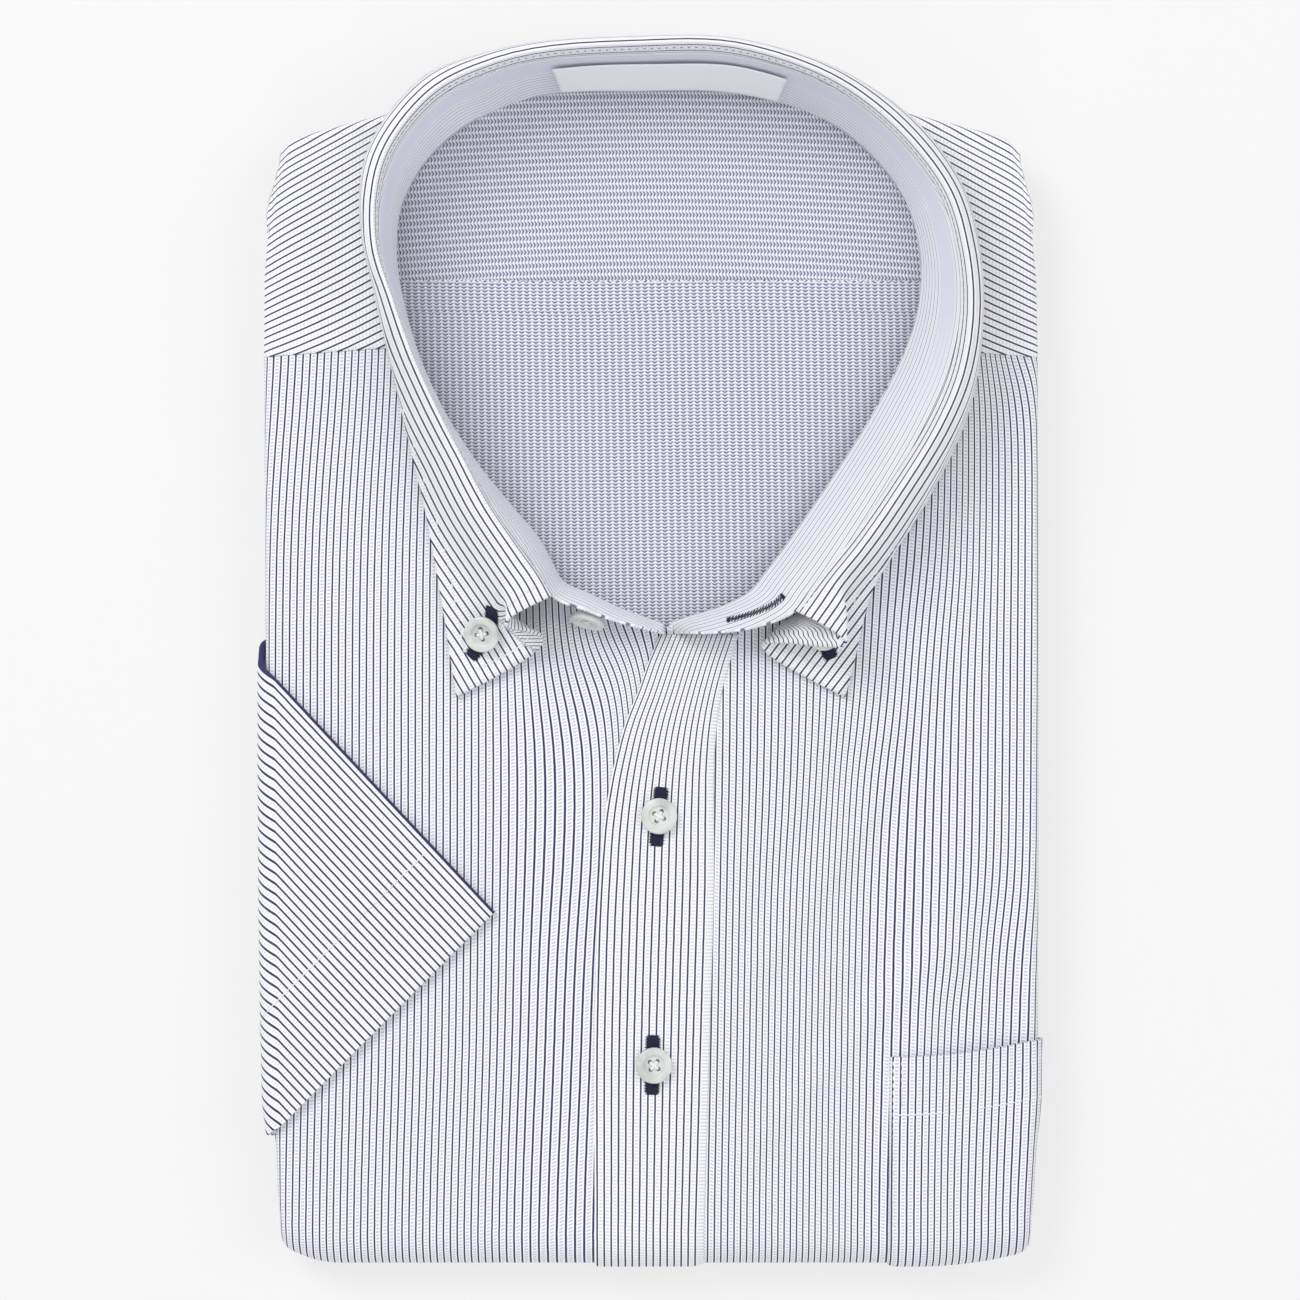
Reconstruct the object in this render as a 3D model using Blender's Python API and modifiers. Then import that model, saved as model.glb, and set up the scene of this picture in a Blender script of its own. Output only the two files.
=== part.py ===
"""A short-sleeved button-down shirt, folded for a shelf and lying face up.

The pack is one soft stack. The two fronts start at the yoke seams, run down the top, go round the bottom
fold and come back along the flat underside. The yoke goes over the shoulders and lines the neck opening,
with the inside of the back below it. The collar stands open on the neck seam, and the wearer's right
sleeve is folded over the front. Hidden layers share one solid with layered edges.

All sizes below are in millimetres, with +X to the wearer's left, +Y to the collar and +Z up.
"""

import math
from collections import namedtuple

import bpy
import numpy as np
from mathutils import Vector

MM = 0.001
COLLECTION_NAME = "folded_dress_shirt"
CUTTERS_NAME = "cutters"

# Driving dimensions of the pack
PACK_TOP = 22.0
CLOTH = 1.2
THIN_CLOTH = 1.0
GAP = 0.3
BOTTOM_FOLD_Y = -196.4
BOTTOM_FOLD_R = PACK_TOP / 2
FOLD_STEP = math.radians(28)
TAIL_HEM_Y = 146.0
SHOULDER_FOLD_Y = 180.0
SHOULDER_FOLD_R = 3.2
SHOULDER_DROP = 1.2
SHOULDER_SLOPE = 0.0013
YOKE_SEAM_Y = 98.5
YOKE_SEAM_SAG = 0.00035
YOKE_NECK_Y = 167.0
YOKE_UNDER_Y = 148.0
YOKE_SHARES = (0.0, 0.18, 0.36, 0.54, 0.7, 0.82, 0.92, 1.0)
YOKE_TURNS = np.radians([36, 72, 108, 144, 180])
INSIDE_SEAM_Y = 118.3
INSIDE_TOP = PACK_TOP - SHOULDER_DROP - 2 * SHOULDER_FOLD_R + CLOTH - 0.05
LIP_R = 3.0
LIP_RETURN = 9.0
FRONT_MEET_X = 5.0
NECK_LOW_Y = 8.9
WELL_MARGIN = 12.0
INSIDE_PLY_X = (58.0, 76.0)
INSIDE_PLY_BACK_MARGIN = 1.6
WELL_FLOOR = INSIDE_TOP - CLOTH - GAP
CENTRE_SHIFT = (0.7, 2.3)

# Driving dimensions of the pieces on the pack
PLACKET_TOP_Y = 5.0
PLACKET_MIDDLE_X = 3.0
PLACKET_END_ANGLE = math.radians(115)
POCKET_TOP_Y = -129.3
POCKET_LEFT_X = 76.0
POCKET_SLANT = 0.12
POCKET_END_ANGLE = math.radians(90)
SLEEVE_FOLD_TOP = (-123.0, -4.5)
SLEEVE_TIP = (-49.2, -83.2)
SLEEVE_HEM_LENGTH = 97.0
SLEEVE_HEM_ANGLE = math.radians(225)
SLEEVE_TOP_MIN = 1.0
SLEEVE_ARC_MIN = 0.2
SLEEVE_TUCK_R = 1.2
SLEEVE_TUCK_Z = 14.2
SLEEVE_TURNS = np.radians([40, 90, 140])
SLEEVE_SHARES = np.linspace(0.0, 1.0, 6, endpoint=False)
SLEEVE_WRAP_ARCS = np.array([0.0, 1.3, 2.6, 3.9, 5.2, 7.6, 9.9, 10.9, 11.9, 16.0])
SLEEVE_THICK = 2.4
STAND_SEAM = 0.17
STAND_GAP = 0.018
LABEL_LEFT_X = -28.0
LABEL_RIGHT_X = 40.5
LABEL_SEARCH = 25.0
LABEL_LOW = 0.12
LABEL_HIGH = 0.7
BUTTON_R = 5.75
BUTTON_THICK = 2.6
PLACKET_FACE = PACK_TOP + GAP + THIN_CLOTH

Edge = namedtuple("Edge", "y left right")
SIDE_EDGES = [
    Edge(y=-185.4, left=-118.0, right=120.3),
    Edge(y=-179.0, left=-118.6, right=120.9),
    Edge(y=-160.0, left=-119.0, right=121.8),
    Edge(y=-144.0, left=-121.0, right=123.6),
    Edge(y=0.0, left=-122.4, right=124.0),
    Edge(y=96.0, left=-123.0, right=123.6),
    Edge(y=140.0, left=-122.8, right=122.8),
    Edge(y=150.0, left=-121.5, right=121.5),
    Edge(y=158.0, left=-118.0, right=118.0),
]

Corner = namedtuple("Corner", "start reach rise")
BOTTOM_LEFT = Corner(start=99.0, reach=20.0, rise=6.4)
BOTTOM_RIGHT = Corner(start=85.0, reach=34.0, rise=4.4)
SHOULDER_CORNER = Corner(start=112.0, reach=7.0, rise=5.0)

# Soft folds in the fronts: a ridge or a trough along a line, in plan
Fold = namedtuple("Fold", "x0 y0 x1 y1 height width")
FRONT_FOLDS = [
    Fold(x0=100.0, y0=24.0, x1=71.0, y1=-30.0, height=1.6, width=7.0),
    Fold(x0=71.0, y0=-30.0, x1=64.0, y1=-66.0, height=0.8, width=8.0),
    Fold(x0=90.0, y0=14.0, x1=62.0, y1=-34.0, height=-0.9, width=7.0),
    Fold(x0=98.0, y0=-98.0, x1=91.0, y1=-116.0, height=0.8, width=6.0),
    Fold(x0=-31.0, y0=0.0, x1=-21.0, y1=-40.0, height=-1.3, width=7.0),
    Fold(x0=-44.0, y0=-22.0, x1=-28.0, y1=-62.0, height=0.8, width=10.0),
]

# Rows down the fronts, and where the rolled side edge ends the flat part
NECK_ROWS = [96.0, 84.0, 72.0, 60.0, 49.0, 39.0, 30.0, 22.5, 17.0, 13.0, 10.4, NECK_LOW_Y]
BODY_ROWS = [-4.0, -20.0, -38.0, -58.0, -80.0, -104.0, -128.0, -150.0, -168.0]
TAIL_ROWS = [-150.0, -60.0, 40.0, TAIL_HEM_Y]
FRONT_COLUMNS = np.array([0.0, 0.06, 0.18, 0.34, 0.5, 0.66, 0.82, 0.93])
LIP_ANGLES = np.radians([0, 36, 72, 108, 144, 180])

PlacketRow = namedtuple("PlacketRow", "y left right")
PLACKET_ROWS = [
    PlacketRow(y=-185.4, left=-17.6, right=17.2),
    PlacketRow(y=-111.0, left=-17.4, right=19.4),
    PlacketRow(y=-73.0, left=-16.0, right=20.4),
    PlacketRow(y=-52.5, left=-14.3, right=20.4),
    PlacketRow(y=-35.0, left=-11.1, right=20.5),
    PlacketRow(y=-23.0, left=-7.8, right=21.4),
    PlacketRow(y=-13.0, left=-3.8, right=23.0),
    PlacketRow(y=-4.0, left=-0.6, right=25.4),
    PlacketRow(y=PLACKET_TOP_Y, left=3.2, right=28.3),
]

# The collar, from the wearer's right front end, round the back of the neck, to the left front end. Each
# row is one section: the neck seam, the crest of the fold, and the leaf's lower edge. The leaf leaves the
# crest outward by roll, and comes to its edge from tuck inside it and lift above it. Roll_side and
# tuck_side carry the S-roll of the two front edges sideways.
Section = namedtuple(
    "Section",
    "neck_x neck_y crest_x crest_y crest_z edge_x edge_y edge_z roll tuck lift roll_side tuck_side",
)
COLLAR = [
    Section(-28.0, 22.5, -31.0, 16.5, 45.0, -61.5, -15.0, 24.2, 46, 70, 0, 18.7, -25.7),
    Section(-31.0, 28.0, -35.0, 23.0, 46.0, -63.5, -2.0, 24.2, 27, 37, 0, 5, -7),
    Section(-34.5, 34.5, -40.5, 30.5, 47.0, -65.5, 11.0, 24.2, 14, 20, 0, 0, 0),
    Section(-43.5, 45.5, -50.0, 44.5, 49.0, -70.5, 39.5, 24.2, 9, 6, 5, 0, 0),
    Section(-54.5, 59.0, -58.5, 60.5, 51.0, -76.0, 63.5, 24.2, 8, 3, 8, 0, 0),
    Section(-65.0, 74.5, -66.0, 75.0, 53.0, -81.5, 86.5, 24.2, 7, 1, 10, 0, 0),
    Section(-73.0, 92.0, -73.5, 91.5, 54.0, -85.5, 103.5, 24.0, 7, 0, 12, 0, 0),
    Section(-78.0, 109.5, -79.5, 108.5, 54.0, -88.0, 116.0, 23.6, 7, -1, 12, 0, 0),
    Section(-80.5, 129.0, -85.0, 127.0, 54.0, -90.5, 131.0, 23.4, 6, -2, 12, 0, 0),
    Section(-79.0, 141.5, -85.0, 141.0, 54.0, -91.0, 144.5, 23.2, 6, -2, 12, 0, 0),
    Section(-72.5, 154.5, -81.0, 155.5, 54.0, -87.5, 160.0, 23.0, 6, -2, 12, 0, 0),
    Section(-60.0, 166.5, -68.0, 172.0, 54.0, -73.0, 179.5, 20.0, 6, -2, 12, 0, 0),
    Section(-41.5, 175.5, -48.0, 182.0, 54.0, -51.0, 188.5, 16.0, 5, -2, 12, 0, 0),
    Section(-3.0, 178.5, -3.0, 187.5, 54.0, -3.0, 192.0, 15.0, 5, -2, 12, 0, 0),
    Section(29.0, 177.5, 31.0, 186.0, 54.0, 33.5, 190.5, 15.0, 5, -2, 12, 0, 0),
    Section(52.5, 171.0, 59.0, 175.5, 53.5, 63.0, 181.0, 18.0, 5, -2, 12, 0, 0),
    Section(69.5, 159.0, 79.0, 159.5, 53.0, 86.0, 164.0, 22.8, 6, -2, 12, 0, 0),
    Section(79.5, 146.5, 91.0, 144.0, 52.5, 97.5, 147.0, 23.2, 6, -2, 12, 0, 0),
    Section(85.5, 129.0, 97.0, 126.5, 52.0, 103.0, 126.5, 23.4, 6, -2, 12, 0, 0),
    Section(85.0, 108.0, 99.0, 105.0, 51.5, 104.5, 104.0, 23.8, 6, -1, 11, 0, 0),
    Section(80.5, 94.0, 97.0, 89.5, 51.0, 103.0, 85.0, 24.0, 6, -1, 10, 0, 0),
    Section(71.0, 75.5, 89.5, 70.0, 50.0, 97.0, 65.0, 24.2, 6, 0, 9, 0, 0),
    Section(60.0, 58.0, 76.0, 48.0, 48.5, 86.0, 43.5, 24.2, 7, 1, 8, 0, 0),
    Section(49.5, 42.5, 66.0, 33.5, 47.0, 76.0, 28.0, 24.2, 8, 3, 6, 0, 0),
    Section(39.5, 28.5, 56.0, 21.0, 45.0, 68.5, 12.0, 24.2, 14, 17, 0, -2, 2),
    Section(36.0, 24.0, 52.0, 16.0, 44.5, 65.5, -1.0, 24.2, 32, 50, 0, -19, 29),
    Section(32.5, 19.5, 48.0, 11.0, 44.0, 62.0, -15.0, 24.2, 46, 66, 0, -32, 48),
]
LEAF_STEPS = np.array([0.0, 0.07, 0.16, 0.27, 0.39, 0.51, 0.63, 0.76, 0.89, 1.0])

# The two ends of the stand reach past the leaf to the front: neck seam and top edge
StandEnd = namedtuple("StandEnd", "neck_x neck_y top_x top_y top_z")
STAND_RIGHT_HAND_END = [
    StandEnd(4.2, 8.5, 5.0, 5.0, 28.0),
    StandEnd(-1.0, 10.3, -2.0, 6.6, 36.0),
    StandEnd(-9.5, 13.5, -11.5, 9.0, 40.0),
    StandEnd(-19.0, 18.0, -20.5, 12.0, 43.0),
]
STAND_LEFT_HAND_END = [
    StandEnd(24.0, 14.5, 34.5, 6.0, 42.0),
    StandEnd(16.0, 11.8, 22.0, 4.6, 39.5),
    StandEnd(10.5, 10.2, 13.0, 4.8, 36.0),
    StandEnd(6.8, 9.0, 7.6, 5.0, 28.0),
]

# Levels up the side of the hidden layers, and how far each is set in from the pack's edge
Level = namedtuple("Level", "z inset")
LAYER_DEEP = 11.0
LAYER_LEVELS = [
    Level(z=CLOTH + GAP, inset=LAYER_DEEP),
    Level(z=6.4, inset=LAYER_DEEP),
    Level(z=6.8, inset=3.2),
    Level(z=7.8, inset=2.2),
    Level(z=9.0, inset=2.4),
    Level(z=9.8, inset=3.6),
    Level(z=10.0, inset=LAYER_DEEP),
    Level(z=13.6, inset=LAYER_DEEP),
    Level(z=13.8, inset=3.4),
    Level(z=14.4, inset=2.2),
    Level(z=14.9, inset=3.2),
    Level(z=15.0, inset=LAYER_DEEP),
    Level(z=PACK_TOP - SHOULDER_DROP - CLOTH - 0.5, inset=LAYER_DEEP),
]
LAYER_ROWS = [-182.0, -160.0, -144.0, 0.0, 96.0, 140.0, 146.5]
NOSE_R = BOTTOM_FOLD_R - CLOTH - GAP
NOSE_ANGLES = np.radians([82, 62, 42, 22])
NOSE_SETBACK = 4.6
LAYER_END_BULGE = 4.0
TopEnd = namedtuple("TopEnd", "y half low")
LAYER_TOP_END = [
    TopEnd(y=147.5, half=107.0, low=1.6),
    TopEnd(y=155.0, half=104.0, low=1.8),
    TopEnd(y=159.0, half=100.0, low=3.4),
    TopEnd(y=161.0, half=95.0, low=6.8),
    TopEnd(y=168.0, half=76.0, low=7.4),
    TopEnd(y=172.0, half=62.0, low=9.6),
]

Button = namedtuple("Button", "name x y z axis")
BUTTONS = [
    Button("button_front_1", 2.9, -52.7, PLACKET_FACE + GAP + BUTTON_THICK / 2, (0.0, 0.0, 1.0)),
    Button("button_front_2", 1.3, -131.8, PLACKET_FACE + GAP + BUTTON_THICK / 2, (0.0, 0.0, 1.0)),
    Button("button_collar_right", -53.2, 5.0, 28.4, (-0.22, -0.21, 1.0)),
    Button("button_collar_left", 55.0, 5.5, 27.6, (0.12, -0.2, 1.0)),
    Button("button_neck", -19.8, 9.3, 31.0, (-0.25, -0.93, 0.3)),
]

PALE = (0.66, 0.67, 0.76)
INSIDE = (0.52, 0.53, 0.66)
WHITE = (0.72, 0.72, 0.73)


def clear_scene():
    """Remove what the scene holds, so that only the shirt is left."""
    for item in list(bpy.data.objects):
        bpy.data.objects.remove(item, do_unlink=True)


def make_material(name, colour, roughness):
    """Return a Principled material for one piece."""
    material = bpy.data.materials.new(name)
    material.use_nodes = True
    shader = material.node_tree.nodes["Principled BSDF"]
    shader.inputs["Base Color"].default_value = (*colour, 1.0)
    shader.inputs["Roughness"].default_value = roughness
    shader.inputs["Metallic"].default_value = 0.0
    return material


def smooth_through(rows, per_span):
    """Return a smooth curve through rows of numbers, with per_span steps between each two."""
    rows = np.asarray(rows, float)
    steps = np.linalg.norm(np.diff(rows[:, :2], axis=0), axis=1)[:, None]
    slopes = np.diff(rows, axis=0) / steps
    tangents = np.vstack([slopes[:1], slopes[:1], slopes[1:]])
    inner = (slopes[:-1] * steps[1:] + slopes[1:] * steps[:-1]) / (steps[:-1] + steps[1:])
    tangents[1:-1] = inner
    t = np.linspace(0.0, 1.0, per_span, endpoint=False)[None, :, None]
    start, end = rows[:-1, None], rows[1:, None]
    leave, arrive = (tangents[:-1] * steps)[:, None], (tangents[1:] * steps)[:, None]
    spans = (
        (2 * t**3 - 3 * t**2 + 1) * start
        + (t**3 - 2 * t**2 + t) * leave
        + (3 * t**2 - 2 * t**3) * end
        + (t**3 - t**2) * arrive
    )
    return np.vstack([spans.reshape(-1, rows.shape[1]), rows[-1:]])


def smooth_step(value, start, end):
    """Return 0 before start, 1 past end, and an eased value between."""
    t = np.clip((np.asarray(value, float) - start) / (end - start), 0.0, 1.0)
    return t * t * (3 - 2 * t)


def fold_relief(x, y):
    """Return the height that the soft folds add to the fronts."""
    relief = np.zeros(np.broadcast(x, y).shape)
    for fold in FRONT_FOLDS:
        run_x, run_y = fold.x1 - fold.x0, fold.y1 - fold.y0
        length = math.hypot(run_x, run_y)
        along = ((x - fold.x0) * run_x + (y - fold.y0) * run_y) / length
        across = ((x - fold.x0) * run_y - (y - fold.y0) * run_x) / length
        past_end = along - np.clip(along, 0, length)
        relief = relief + fold.height * np.exp(-(past_end**2 + across**2) / fold.width**2)
    return relief


def pack_top(x, y):
    """Return the height of the top layer's upper face."""
    free = smooth_step(np.abs(x), 116.0, 106.0) * smooth_step(y, -178.0, -160.0)
    free = free * smooth_step(np.abs(x - PLACKET_MIDDLE_X), 21.0, 33.0)
    drop = SHOULDER_DROP * smooth_step(y, 60.0, 165.0)
    return PACK_TOP - drop + fold_relief(x, y) * free


def side_edge(side, y):
    """Return the x of the pack's edge on one side, at each y."""
    edges = [edge.left if side < 0 else edge.right for edge in SIDE_EDGES]
    return np.interp(y, [edge.y for edge in SIDE_EDGES], edges)


def corner_rise(corner, x):
    """Return how far a rounded corner pulls a fold's line in."""
    return corner.rise * np.clip((np.abs(x) - corner.start) / corner.reach, 0.0, 1.2) ** 2


def bottom_start(x):
    """Return the y where the bottom fold's round begins."""
    rise = np.where(x < 0, corner_rise(BOTTOM_LEFT, x), corner_rise(BOTTOM_RIGHT, x))
    return BOTTOM_FOLD_Y + BOTTOM_FOLD_R + rise


def shoulder_line(x):
    """Return the y of the shoulder fold's outer edge."""
    return SHOULDER_FOLD_Y - SHOULDER_SLOPE * np.square(x) - corner_rise(SHOULDER_CORNER, x)


def yoke_seam(x):
    """Return the y of the seam between yoke and front."""
    return YOKE_SEAM_Y - YOKE_SEAM_SAG * np.square(x)


def neck_line(per_span):
    """Return points of the neck seam, all round, in plan."""
    start = [(row.neck_x, row.neck_y) for row in STAND_RIGHT_HAND_END]
    end = [(row.neck_x, row.neck_y) for row in STAND_LEFT_HAND_END]
    middle = [(row.neck_x, row.neck_y) for row in COLLAR]
    return smooth_through(start + middle + end, per_span)


def neck_side(side, y):
    """Return the neck seam's x on one side, at y."""
    line = neck_line(6)
    top = int(np.argmax(line[:, 1]))
    half = line[: top + 1] if side < 0 else line[top:][::-1]
    return np.interp(y, np.maximum.accumulate(half[:, 1]), half[:, 0])


def neck_height(x, y):
    """Return how high the neck seam lies: on the top layer, or behind it on the ply inside."""
    over_shoulder = np.where(y > 150.0, smooth_step(np.abs(x), 50.0, 58.0), 1.0)
    return INSIDE_TOP + GAP + over_shoulder * (pack_top(x, y) - INSIDE_TOP)


def neck_points(plan, crest):
    """Return the stand's lower edge, lifted where it leans so that its wall clears what it is sewn to."""
    height = neck_height(plan[:, 0], plan[:, 1])
    reach = np.linalg.norm(crest[:, :2] - plan, axis=1)
    lean = reach / np.hypot(reach, crest[:, 2] - height)
    return np.column_stack([plan, height + CLOTH * lean])


def offset_outline(points, amounts):
    """Return a plan outline moved to its left, seen along its run, by the given amounts."""
    tangent = np.gradient(points, axis=0)
    tangent /= np.linalg.norm(tangent, axis=1)[:, None]
    outward = np.column_stack([-tangent[:, 1], tangent[:, 0]])
    return points + outward * np.broadcast_to(amounts, len(points))[:, None]


def add_piece(name, mesh, parent, material, cutter=False):
    """Link a mesh as a named piece under the shirt's centre."""
    mesh.materials.append(material)
    item = bpy.data.objects.new(name, mesh)
    bpy.data.collections[CUTTERS_NAME if cutter else COLLECTION_NAME].objects.link(item)
    item.parent = parent
    if cutter:
        item.hide_render = True
        item.display_type = "WIRE"
    return item


def add_wall(item, thickness):
    """Give an open surface its cloth wall, inward from its outer face."""
    wall = item.modifiers.new("cloth_wall", "SOLIDIFY")
    wall.thickness = thickness * MM
    wall.offset = -1.0
    wall.use_even_offset = True
    return item


def grid_mesh(name, grid, flip):
    """Return an open mesh over a grid of points in millimetres."""
    rows, columns = grid.shape[:2]
    index = np.arange(rows * columns).reshape(rows, columns)
    corners = [index[:-1, :-1], index[:-1, 1:], index[1:, 1:], index[1:, :-1]]
    faces = np.stack([corner.ravel() for corner in corners], axis=1)
    if flip:
        faces = faces[:, ::-1]
    mesh = bpy.data.meshes.new(name)
    mesh.from_pydata((grid.reshape(-1, 3) * MM).tolist(), [], faces.tolist())
    mesh.shade_smooth()
    return mesh


def sheet(name, grid, thickness, parent, material, flip=False, cutter=False):
    """Return a cloth wall whose outer face is a grid of points."""
    return add_wall(add_piece(name, grid_mesh(name, grid, flip), parent, material, cutter), thickness)


def plate(name, outline, top, thickness, parent, material, cutter=False):
    """Return a flat ply with a plan outline and its upper face at top."""
    mesh = bpy.data.meshes.new(name)
    points = [(x * MM, y * MM, top * MM) for x, y in outline]
    mesh.from_pydata(points, [], [list(range(len(points)))])
    if mesh.polygons[0].normal.z < 0:
        mesh.flip_normals()
    return add_wall(add_piece(name, mesh, parent, material, cutter), thickness)


def use_boolean(item, other, operation):
    """Cut an object with another, or join the two."""
    step = item.modifiers.new(f"{operation.lower()}_{other.name}", "BOOLEAN")
    step.operation = operation
    step.object = other


def front_path(x, rows_y, end_angle, tail_rows=()):
    """Return the rows of the way down the top, round the bottom fold and under the pack.

    Each row is y, z and the inward direction in y and z, at every x.
    """
    start = bottom_start(x)
    flat = np.zeros_like(x)
    rows = [(flat + y, flat + PACK_TOP, flat, flat - 1) for y in rows_y]
    steps = round(end_angle / FOLD_STEP)
    for angle in np.linspace(0, end_angle, steps + 1):
        y = start - BOTTOM_FOLD_R * math.sin(angle)
        z = flat + BOTTOM_FOLD_R * (1 + math.cos(angle))
        rows.append((y, z, flat + math.sin(angle), flat - math.cos(angle)))
    rows += [(flat + y, flat, flat, flat + 1) for y in tail_rows]
    return rows


def rolled_columns(inner, edge, shares):
    """Return x and depth across a piece: flat to the side, then rolled under at its edge."""
    side = math.copysign(1.0, edge - inner)
    flat = inner + shares * (edge - side * LIP_R - inner)
    inward = np.append(LIP_R * (1 - np.sin(LIP_ANGLES)), LIP_RETURN)
    depth = np.append(LIP_R * (1 - np.cos(LIP_ANGLES)), 2 * LIP_R)
    return np.concatenate([flat, edge - side * inward]), np.concatenate([0 * flat, depth])


def build_front(name, side, parent, material):
    """Build one front: top, rolled side edge, bottom fold and the part under the pack."""
    rows_y = NECK_ROWS + BODY_ROWS
    row_count = len(front_path(np.zeros(1), rows_y, math.pi, TAIL_ROWS))
    grid = []
    for number in range(row_count):
        y = front_path(np.zeros(1), rows_y, math.pi, TAIL_ROWS)[number][0].item()
        inner = FRONT_MEET_X * smooth_step(y, -190.0, 0.0).item() + side * GAP / 2
        if number < len(NECK_ROWS):
            seam_x = neck_side(side, y).item()
            inner = min(inner, seam_x) if side < 0 else max(inner, seam_x)
        edge = side_edge(side, max(y, SIDE_EDGES[0].y)).item()
        x, depth = rolled_columns(inner, edge, FRONT_COLUMNS)
        along, height, inward_y, inward_z = front_path(x, rows_y, math.pi, TAIL_ROWS)[number]
        if number < len(rows_y):
            along = along + smooth_step(y, 60.0, 96.0) * (yoke_seam(x) - NECK_ROWS[0])
            height = pack_top(x, along)
        grid.append(np.column_stack([x, along + depth * inward_y, height + depth * inward_z]))
    return sheet(name, np.array(grid), CLOTH, parent, material, flip=side > 0)


def placket_edges(y):
    """Return the placket's two edges at y."""
    levels = [row.y for row in PLACKET_ROWS]
    left = np.interp(y, levels, [row.left for row in PLACKET_ROWS])
    right = np.interp(y, levels, [row.right for row in PLACKET_ROWS])
    return left.item(), right.item()


def build_placket(parent, material):
    """Build the button band that lies over the meeting edges of the fronts."""
    rows_y = [PLACKET_TOP_Y] + BODY_ROWS
    lift = GAP + THIN_CLOTH
    shares = np.linspace(0.0, 1.0, 4)
    grid = []
    for number in range(len(front_path(shares, rows_y, PLACKET_END_ANGLE))):
        y = front_path(np.zeros(1), rows_y, PLACKET_END_ANGLE)[number][0].item()
        left, right = placket_edges(y)
        x = left + shares * (right - left)
        along, height, inward_y, inward_z = front_path(x, rows_y, PLACKET_END_ANGLE)[number]
        if number < len(rows_y):
            height = pack_top(x, along)
        grid.append(np.column_stack([x, along - lift * inward_y, height - lift * inward_z]))
    return sheet("placket", np.array(grid), THIN_CLOTH, parent, material, flip=True)


def build_pocket(parent, material):
    """Build the chest pocket, from its hem to the bottom fold and round the pack's side."""
    rows_y = [POCKET_TOP_Y, -140.0, -152.0, -164.0]
    lift = GAP + THIN_CLOTH
    shares = np.array([0.0, 0.25, 0.5, 0.75])
    rolled = len(LIP_ANGLES) - 2
    grid = []
    for number in range(len(front_path(shares, rows_y, POCKET_END_ANGLE))):
        y = front_path(np.zeros(1), rows_y, POCKET_END_ANGLE)[number][0].item()
        edge = side_edge(1, max(y, SIDE_EDGES[0].y)).item()
        x, depth = rolled_columns(POCKET_LEFT_X, edge, shares)
        x, depth = x[: len(shares) + rolled], depth[: len(shares) + rolled]
        turn = np.concatenate([np.zeros(len(shares)), LIP_ANGLES[:rolled]])
        along, height, inward_y, inward_z = front_path(x, rows_y, POCKET_END_ANGLE)[number]
        if number < len(rows_y):
            along = along + POCKET_SLANT * (x - POCKET_LEFT_X) * (number == 0)
            height = pack_top(x, along)
        deep = depth - lift * np.cos(turn)
        out = x + lift * np.sin(turn)
        grid.append(np.column_stack([out, along + deep * inward_y, height + deep * inward_z]))
    return sheet("pocket", np.array(grid), THIN_CLOTH, parent, material, flip=True)


def build_yoke(parent, material):
    """Build the yoke: two lobes over the shoulders, joined by the ply inside the neck."""
    shares, angles = YOKE_SHARES, YOKE_TURNS
    lobes = {}
    for side in (-1, 1):
        grid = []
        for number in range(len(shares) + len(angles) + 1):
            share = shares[min(number, len(shares) - 1)]
            nominal = 96.0 + share * (SIDE_EDGES[-1].y - 96.0)
            edge = side_edge(side, nominal).item()
            neck_y = YOKE_SEAM_Y + share * (YOKE_NECK_Y - YOKE_SEAM_Y)
            inner = neck_side(side, neck_y).item() + side * GAP
            x, depth = rolled_columns(inner, edge, FRONT_COLUMNS)
            rolled = 1.0 - smooth_step(nominal, 118.0, 140.0).item()
            open_edge = edge - side * np.linspace(LIP_R, 0.0, len(LIP_ANGLES) + 1)
            x[len(FRONT_COLUMNS) :] = rolled * x[len(FRONT_COLUMNS) :] + (1 - rolled) * open_edge
            low = yoke_seam(x) + GAP
            high = shoulder_line(x) - SHOULDER_FOLD_R
            fold_top = pack_top(x, high)
            if number < len(shares):
                y = low + share * (high - low)
                z = pack_top(x, y) - rolled * depth
            elif number < len(shares) + len(angles):
                angle = angles[number - len(shares)]
                y = high + SHOULDER_FOLD_R * math.sin(angle)
                z = fold_top - SHOULDER_FOLD_R * (1 - math.cos(angle))
            else:
                y = np.full_like(x, YOKE_UNDER_Y)
                z = fold_top - 2 * SHOULDER_FOLD_R
            grid.append(np.column_stack([x, y, z]))
        name = "yoke" if side < 0 else "yoke_second_lobe"
        lobes[side] = sheet(name, np.array(grid), CLOTH, parent, material, side < 0, side > 0)
    line = neck_line(3)
    line = line[line[:, 1] > INSIDE_SEAM_Y]
    margin = np.interp(np.abs(line[:, 0]), INSIDE_PLY_X, [INSIDE_PLY_BACK_MARGIN, WELL_MARGIN - 0.5])
    outline = offset_outline(line, margin)
    outline = [tuple(point) for point in outline if point[1] > INSIDE_SEAM_Y]
    outline += [(outline[-1][0], INSIDE_SEAM_Y), (outline[0][0], INSIDE_SEAM_Y)]
    inside = plate("yoke_inside", outline, INSIDE_TOP, CLOTH, parent, material, cutter=True)
    use_boolean(lobes[-1], inside, "UNION")
    use_boolean(lobes[-1], lobes[1], "UNION")
    return lobes[-1]


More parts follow.
